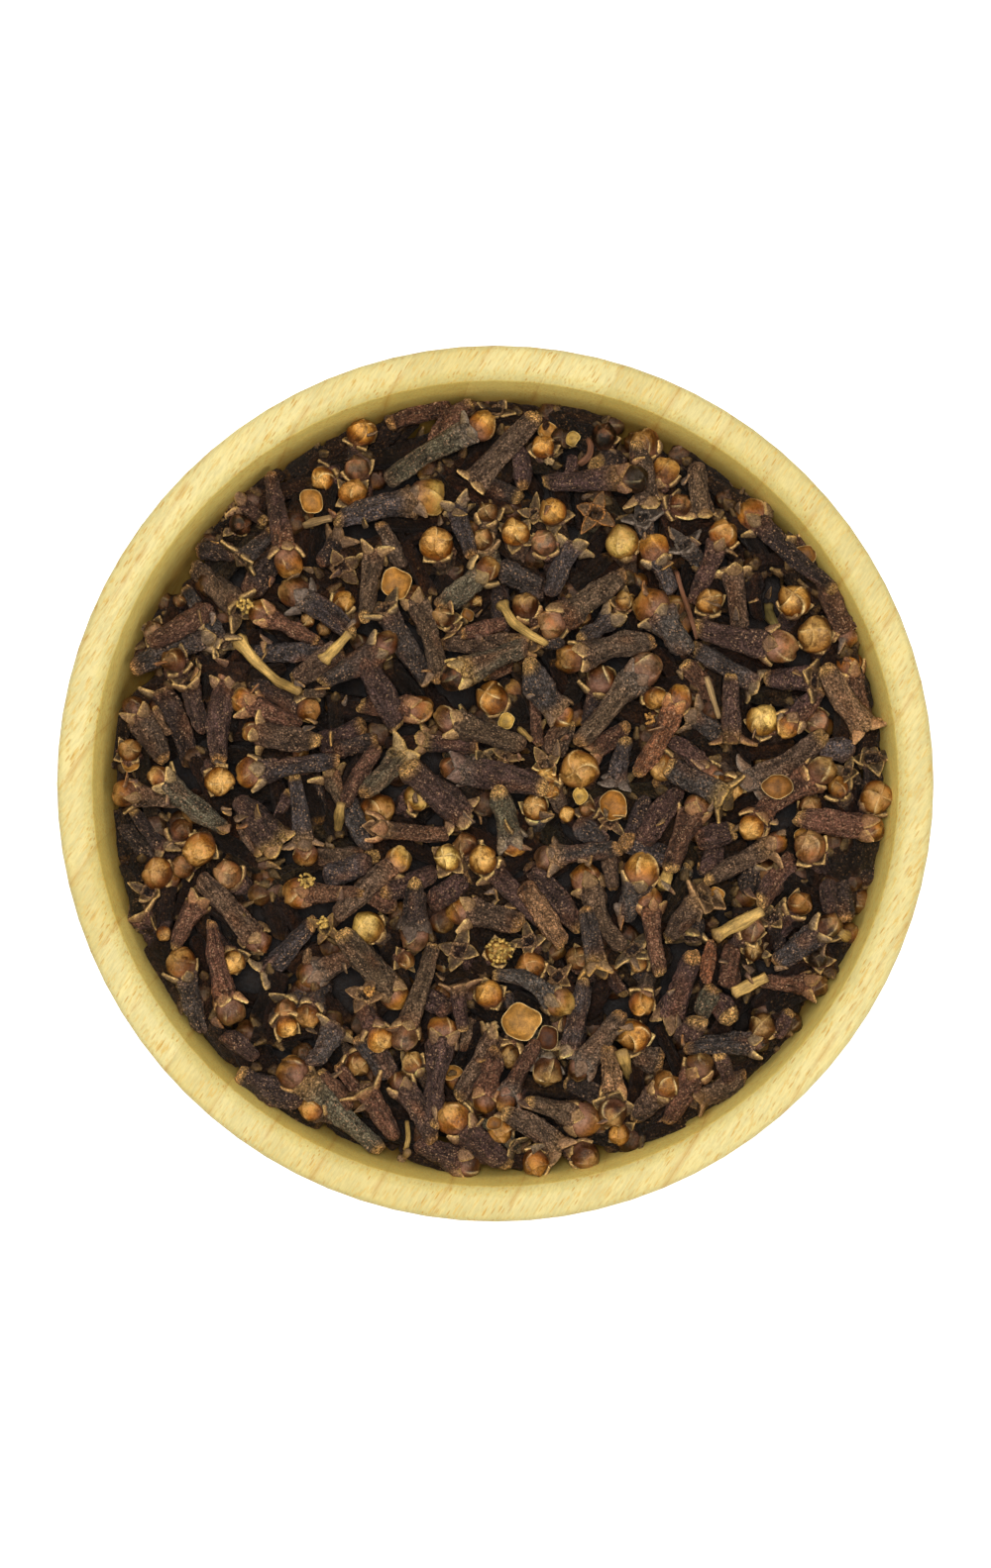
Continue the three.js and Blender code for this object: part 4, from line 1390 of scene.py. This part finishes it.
def bud_skin(name, gain=1.0):
    """Dried bud: matt and a little leathery, golden with a purple-brown blush."""
    n = Net(name)
    d = n.attr("grain", "Vector")
    marks = n.add("ShaderNodeSeparateXYZ")
    n.put(marks.inputs[0], n.attr("marks", "Vector"))
    bright, patch, seed = marks.outputs
    shift = n.vec("ADD", d, n.vec("SCALE", (1.0, 0.7, 0.4), seed))
    blot = n.noise(shift, 1.5, 3.0, 0.6)
    fine = n.noise(shift, 7.0, 4.0, 0.7)
    q = n.add("ShaderNodeSeparateXYZ")
    n.put(q.inputs[0], d)
    z = q.outputs[2]
    crown = n.step(n.math("ADD", n.math("MULTIPLY", z, 0.5), n.math("MULTIPLY", n.math("SUBTRACT", blot, 0.5), 3.2)), 0.05, 0.75)
    crown = n.math("MULTIPLY", crown, patch)
    crown = n.math("MULTIPLY", crown, n.step(fine, 0.35, 0.65, 0.6, 1.1))
    base = n.mix(crown, n.attr("tint"), n.attr("tint2"))
    val = n.step(n.math("ADD", n.math("MULTIPLY", blot, 0.9), n.math("MULTIPLY", fine, 0.7)), 0.52, 1.06, 0.22 * gain, 1.80 * gain)
    base = n.mix(n.step(val, 0.35 * gain, 1.1 * gain), n.mix(1.0, base, (1.0, 0.84, 0.66), "MULTIPLY"), base)
    base = n.times(base, val)
    pock = n.step(n.noise(shift, 5.0, 3.0, 0.7), 0.56, 0.72)
    base = n.mix(n.math("MULTIPLY", pock, 0.50), base, tuple(linear((108, 66, 36))))
    fleck = n.step(n.noise(n.vec("ADD", shift, (7.0, 3.0, 1.0)), 9.0, 2.0, 0.6), 0.62, 0.74)
    base = n.mix(n.math("MULTIPLY", n.math("MULTIPLY", fleck, bright), 0.32 * gain), base, tuple(linear((240, 196, 120))))
    nor = n.bump(n.math("ADD", fine, n.math("MULTIPLY", blot, 0.6)), 0.75, 0.00022)
    rough = n.step(fine, 0.3, 0.7, 0.28, 0.46)
    n.bsdf.inputs["Specular Tint"].default_value = (1.0, 0.88, 0.70, 1.0)
    return n.finish(base, rough, nor, 0.44)


def fibre_skin(name, gain=1.0):
    """Dry lobes, stalks and petals: fibrous, with worn pale edges."""
    n = Net(name)
    g = n.attr("grain", "Vector")
    a = n.noise(g, 1.6, 4.0, 0.65)
    b = n.noise(g, 6.0, 3.0, 0.6)
    v = n.step(n.math("ADD", a, n.math("MULTIPLY", b, 0.6)), 0.5, 1.1, 0.55 * gain, 1.35 * gain)
    nor = n.bump(n.math("ADD", a, b), 0.6, 0.00015)
    return n.finish(n.times(n.attr("tint"), v), n.step(b, 0.3, 0.7, 0.5, 0.72), nor, 0.35)


def stalk_skin():
    """Thin dried flower stalk: long fibres, pale ribs and darker grooves."""
    n = Net("dry_stalk_fibre")
    g = n.attr("grain", "Vector")
    ribs = n.noise(n.vec("MULTIPLY", g, (1.0, 1.0, 0.12)), 2.6, 4.0, 0.65)
    fine = n.noise(g, 3.0, 4.0, 0.7)
    v = n.step(n.math("ADD", ribs, n.math("MULTIPLY", fine, 0.5)), 0.5, 1.05, 0.42, 1.3)
    nor = n.bump(n.math("ADD", ribs, n.math("MULTIPLY", fine, 0.4)), 0.9, 0.00028)
    return n.finish(n.times(n.attr("tint"), v), n.step(fine, 0.3, 0.7, 0.5, 0.72), nor, 0.35)


def core_skin():
    n = Net("heap_depth")
    co = n.add("ShaderNodeTexCoord").outputs["Object"]
    g = n.vec("SCALE", co, 1000.0)
    a = n.noise(g, 0.35, 4.0, 0.6)
    b = n.noise(g, 2.0, 3.0, 0.6)
    # near-black: painted shade for the depth of the heap
    colour = n.mix(n.step(a, 0.35, 0.65), tuple(linear((16, 11, 8))), tuple(linear((32, 22, 15))))
    colour = n.times(colour, n.step(b, 0.3, 0.7, 0.6, 1.2))
    return n.finish(colour, n.step(b, 0.3, 0.7, 0.6, 0.85), n.bump(b, 0.8, 0.0004), 0.3)


GRAIN_DIR = math.radians(57.0)  # the laminated strips run this way round from +X
STRIP = 8.652  # width of one strip, in mm


def bamboo():
    """Turned laminated bamboo: strips, long fibres, end-grain pores where the cut crosses them."""
    n = Net("laminated_bamboo")
    co = n.add("ShaderNodeTexCoord").outputs["Object"]
    g = n.vec("SCALE", co, 1000.0)
    rot = n.add("ShaderNodeVectorRotate", rotation_type="Z_AXIS")
    n.put(rot.inputs["Vector"], g)
    rot.inputs["Angle"].default_value = -GRAIN_DIR
    f = rot.outputs[0]
    q = n.add("ShaderNodeSeparateXYZ")
    n.put(q.inputs[0], f)
    u, v, w = q.outputs
    strip_id = n.math("FLOOR", n.math("DIVIDE", v, STRIP))
    white = n.add("ShaderNodeTexWhiteNoise", noise_dimensions="1D")
    n.put(white.inputs["W"], strip_id)
    tintv = white.outputs["Value"]
    # each strip starts its own fibres
    shift = n.add("ShaderNodeCombineXYZ")
    n.put(shift.inputs[0], n.math("MULTIPLY", tintv, 53.0))
    n.put(shift.inputs[2], n.math("MULTIPLY", tintv, 17.0))
    fs = n.vec("ADD", f, shift.outputs[0])
    lines = n.noise(n.vec("MULTIPLY", fs, (0.16, 1.0, 1.0)), 2.6, 3.0, 0.7)
    fine = n.noise(n.vec("MULTIPLY", fs, (0.14, 1.0, 1.0)), 3.6, 3.0, 0.75)
    broad = n.noise(n.vec("MULTIPLY", fs, (0.06, 1.0, 1.0)), 0.5, 3.0, 0.6)
    cloud = n.noise(g, 0.22, 4.0, 0.65)
    # a strip is closer set with bundles, which show as dashes or dots, towards one side
    across = n.math("FRACT", n.math("DIVIDE", v, STRIP))
    close = n.math("ADD", n.math("MULTIPLY", n.step(across, 0.55, 0.02), 0.5), n.math("MULTIPLY", n.noise(n.vec("MULTIPLY", fs, (0.10, 1.0, 1.0)), 0.45, 2.0, 0.5), 1.1))
    cluster = n.step(close, 0.38, 0.88, 0.45, 1.0)
    dash = n.vec("MULTIPLY", fs, (0.16, 1.0, 1.0))

    def bundles(scale, share, lo, hi):
        pick = n.add("ShaderNodeSeparateColor")
        n.put(pick.inputs[0], n.voronoi(dash, scale, "Color"))
        return n.math("MULTIPLY", n.step(n.voronoi(dash, scale), hi, lo), n.step(pick.outputs[0], share, share + 0.15))

    dot = n.math("MULTIPLY", bundles(2.2, 0.08, 0.17, 0.28), cluster)
    deep_dot = n.math("MULTIPLY", bundles(1.2, 0.70, 0.10, 0.24), n.step(cluster, 0.3, 0.9, 0.35, 1.0))
    base = n.mix(n.step(tintv, 0.0, 1.0), tuple(linear((214, 195, 126))), tuple(linear((223, 206, 140))))
    val = n.math("ADD", n.math("MULTIPLY", broad, 0.5), n.math("MULTIPLY", cloud, 0.5))
    base = n.times(base, n.step(val, 0.38, 0.62, 0.95, 1.05))
    base = n.times(base, n.step(fine, 0.36, 0.60, 0.87, 1.00))
    base = n.mix(n.math("MULTIPLY", n.step(cloud, 0.52, 0.68), 0.20), base, tuple(linear((212, 184, 104))))
    base = n.mix(n.math("MULTIPLY", n.step(lines, 0.54, 0.62), n.step(cluster, 0.2, 1.0, 0.40, 0.80)), base, tuple(linear((212, 174, 90))))
    base = n.mix(n.math("MULTIPLY", dot, 0.82), base, tuple(linear((196, 148, 66))))
    base = n.mix(n.math("MULTIPLY", deep_dot, 0.60), base, tuple(linear((188, 138, 62))))
    edge = n.math("ABSOLUTE", n.math("SUBTRACT", across, 0.5))
    joint = n.math("ADD", n.math("MULTIPLY", n.step(edge, 0.488, 0.498), 0.30), n.math("MULTIPLY", n.step(edge, 0.42, 0.49), n.step(cloud, 0.42, 0.60, 0.0, 0.45)))
    base = n.mix(joint, base, tuple(linear((190, 148, 76))))
    place_ = n.add("ShaderNodeSeparateXYZ")
    n.put(place_.inputs[0], g)
    gx_, gy_, gz_ = place_.outputs
    away = n.math("SQRT", n.math("ADD", n.math("MULTIPLY", gx_, gx_), n.math("MULTIPLY", gy_, gy_)))
    # the well's wall and its bevelled lip are darker than the rim
    down = n.math("DIVIDE", n.math("SUBTRACT", WELL_TOP_Z, gz_), WELL_TOP_Z - WELL_FLOOR_Z)
    down = n.math("MINIMUM", n.math("MAXIMUM", down, 0.0), 0.999)
    inner = n.math("POWER", n.math("SUBTRACT", 1.0, n.math("POWER", down, WELL_POWER)), 1 / WELL_POWER)
    inner = n.math("MULTIPLY", n.math("MULTIPLY", inner, WELL_R), n.math("SUBTRACT", 1.0, n.math("MULTIPLY", down, WELL_TAPER)))
    well = n.math("MULTIPLY", n.step(n.math("SUBTRACT", away, inner), 0.9, 0.5), n.step(gz_, 57.45, 57.1))
    shade = n.mix(n.step(gz_, 44.5, 52.6), (0.30, 0.235, 0.17), (1.0, 1.0, 1.0))  # painted contact shade where the cloves lie against it
    base = n.mix(well, base, n.mix(1.0, n.mix(1.0, base, (1.27, 1.165, 0.766), "MULTIPLY"), shade, "MULTIPLY"))
    lip = n.math("MULTIPLY", n.math("MULTIPLY", n.step(away, 59.55, 59.3), n.step(away, 57.9, 58.05)), n.step(gz_, 57.1, 57.3))
    base = n.mix(lip, base, n.mix(1.0, base, (0.975, 0.97, 0.91), "MULTIPLY"))
    h = n.math("SUBTRACT", n.math("MULTIPLY", lines, 0.5), n.math("MULTIPLY", dot, 0.7))
    nor = n.bump(h, 0.35, 0.00012)
    rough = n.step(lines, 0.3, 0.7, 0.52, 0.66)
    return n.finish(base, rough, nor, 0.26)


def floor_skin():
    n = Net("pale_floor")
    co = n.add("ShaderNodeTexCoord").outputs["Object"]
    a = n.noise(co, 14.0, 2.0, 0.5)
    colour = n.mix(a, (0.86, 0.86, 0.86), (0.90, 0.90, 0.90))
    n.bsdf.inputs["Emission Color"].default_value = (1, 1, 1, 1)
    n.bsdf.inputs["Emission Strength"].default_value = FLOOR_GLOW
    return n.finish(colour, 0.7, n.bump(a, 0.05, 0.0005), 0.2)


FLOOR_GLOW = 0.55
skin = clove_skin("clove_stem_skin")
# painted shade: the cloves under the top ones and along the wall, and their lobes and buds, are made far darker than
# those on top, with a warmer cast, for the shade deep in the heap
deep = clove_skin("under_clove_skin", gain=0.125, speck=0.11, dark=0.05, light=3.0, cast=(1.0, 0.81, 0.55))
wall_skin = clove_skin("wall_clove_skin", gain=0.165, speck=0.30, cast=(1.0, 0.88, 0.70))
deep_lobe = clove_skin("under_lobe_skin", gain=0.26, speck=0.2, grain=0.6, dark=0.45, light=1.6, pitting=0.8, cast=(1.0, 0.92, 0.80))
budskin = bud_skin("clove_bud_skin")
deep_bud = bud_skin("under_bud_skin", gain=0.44)
fibre = fibre_skin("dry_lobe_fibre")
lobe = clove_skin("calyx_lobe_skin", gain=1.0, speck=0.35, grain=0.6, dark=0.45, light=1.6, pitting=0.8)
stalk = stalk_skin()

whole.build([skin])
calyxes.build([skin])
bare.build([skin])
buds.build([budskin])
sepals.build([lobe])
caps.build([fibre])
straws.build([stalk])
tufts.build([fibre])
under.build([deep])
under_buds.build([deep_bud])
ring_stems.build([wall_skin])
under_lobes.build([deep_lobe])
crumbs.build([lobe])

# the core: a plain closed body down the well, uneven on top, under all the cloves, near-black as painted shade deep in
# the heap
core = Kind("heap_core")
cols = 96
cx, cy = ring(cols)
rows = []
for z in np.linspace(WELL_FLOOR_Z + 0.6, CORE_Z - 1.5, 14):
    rr = max(1.5, float(well_radius(z)) - 0.8)
    rows.append(np.stack([rr * cx, rr * cy, np.full(cols, z)], 1))
edge_r = float(well_radius(CORE_Z - 1.5)) - 0.8
for q in np.linspace(1.0, 0.02, 34):
    x, y = edge_r * q * cx, edge_r * q * cy
    rows.append(np.stack([x, y, core_top(x, y) - 1.2 * smooth(0.97, 1.0, q)], 1))
pts = np.array(rows)
core.tube(pts, np.array([0, 0, WELL_FLOOR_Z + 0.5]), np.array([0, 0, float(core_top(np.array([0.0]), np.array([0.0]))[0])]), np.ones(3) * 0.04, pts)
core.build([core_skin()])

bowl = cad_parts["bowl"]
bowl.data.materials.clear()
bowl.data.materials.append(bamboo())
if "custom_normal" in bowl.data.attributes:
    bowl.data.attributes.remove(bowl.data.attributes["custom_normal"])
bowl.data.polygons.foreach_set("use_smooth", np.ones(len(bowl.data.polygons), bool))
weld = bowl.modifiers.new("weld", "WELD")
weld.merge_threshold = 2e-6
split = bowl.modifiers.new("split", "EDGE_SPLIT")
split.split_angle = math.radians(38)
split.use_edge_sharp = False

# ---------------------------------------------------------------- floor, light and camera
me = bpy.data.meshes.new("floor")
n = 24
fx, fy = np.meshgrid(np.linspace(-1.6, 1.6, n), np.linspace(-1.6, 1.6, n))
fv = np.stack([fx.ravel(), fy.ravel(), np.zeros(n * n)], 1)
fq = [(j * n + i, j * n + i + 1, (j + 1) * n + i + 1, (j + 1) * n + i) for j in range(n - 1) for i in range(n - 1)]
me.from_pydata(fv.tolist(), [], fq)
floor = bpy.data.objects.new("floor", me)
bpy.context.scene.collection.objects.link(floor)
me.materials.append(floor_skin())

world = bpy.data.worlds.new("studio")
bpy.context.scene.world = world
world.use_nodes = True
world.node_tree.nodes["Background"].inputs[0].default_value = (1.0, 1.0, 1.0, 1.0)
world.node_tree.nodes["Background"].inputs[1].default_value = 0.05


def lamp(name, at, size, watts, colour=(1, 1, 1)):
    d = bpy.data.lights.new(name, "AREA")
    d.shape, d.size, d.energy, d.color = "DISK", size, watts, colour
    ob = bpy.data.objects.new(name, d)
    bpy.context.scene.collection.objects.link(ob)
    ob.location = at
    ob.rotation_euler = (Vector((0, 0, 0.04)) - Vector(at)).to_track_quat("-Z", "Y").to_euler()
    return ob


lamp("key", (-0.02, 0.05, 1.05), 0.30, 10.2)
lamp("front", (0.56, -0.60, 0.86), 0.5, 2.9)
lamp("back", (-0.60, 0.56, 0.86), 0.5, 1.5)

cam = bpy.data.cameras.new("camera")
cam.lens, cam.sensor_width = 95.95, 36.0
cam.clip_start, cam.clip_end = 0.01, 10.0
eye = bpy.data.objects.new("camera", cam)
bpy.context.scene.collection.objects.link(eye)
eye.location = (0.00003, -0.00006, EYE_Z * MM)
eye.rotation_euler = (0, 0, 0)
bpy.context.scene.camera = eye
bpy.context.scene.view_settings.view_transform = "Standard"
bpy.context.scene.view_settings.look = "None"

bpy.context.view_layer.update()
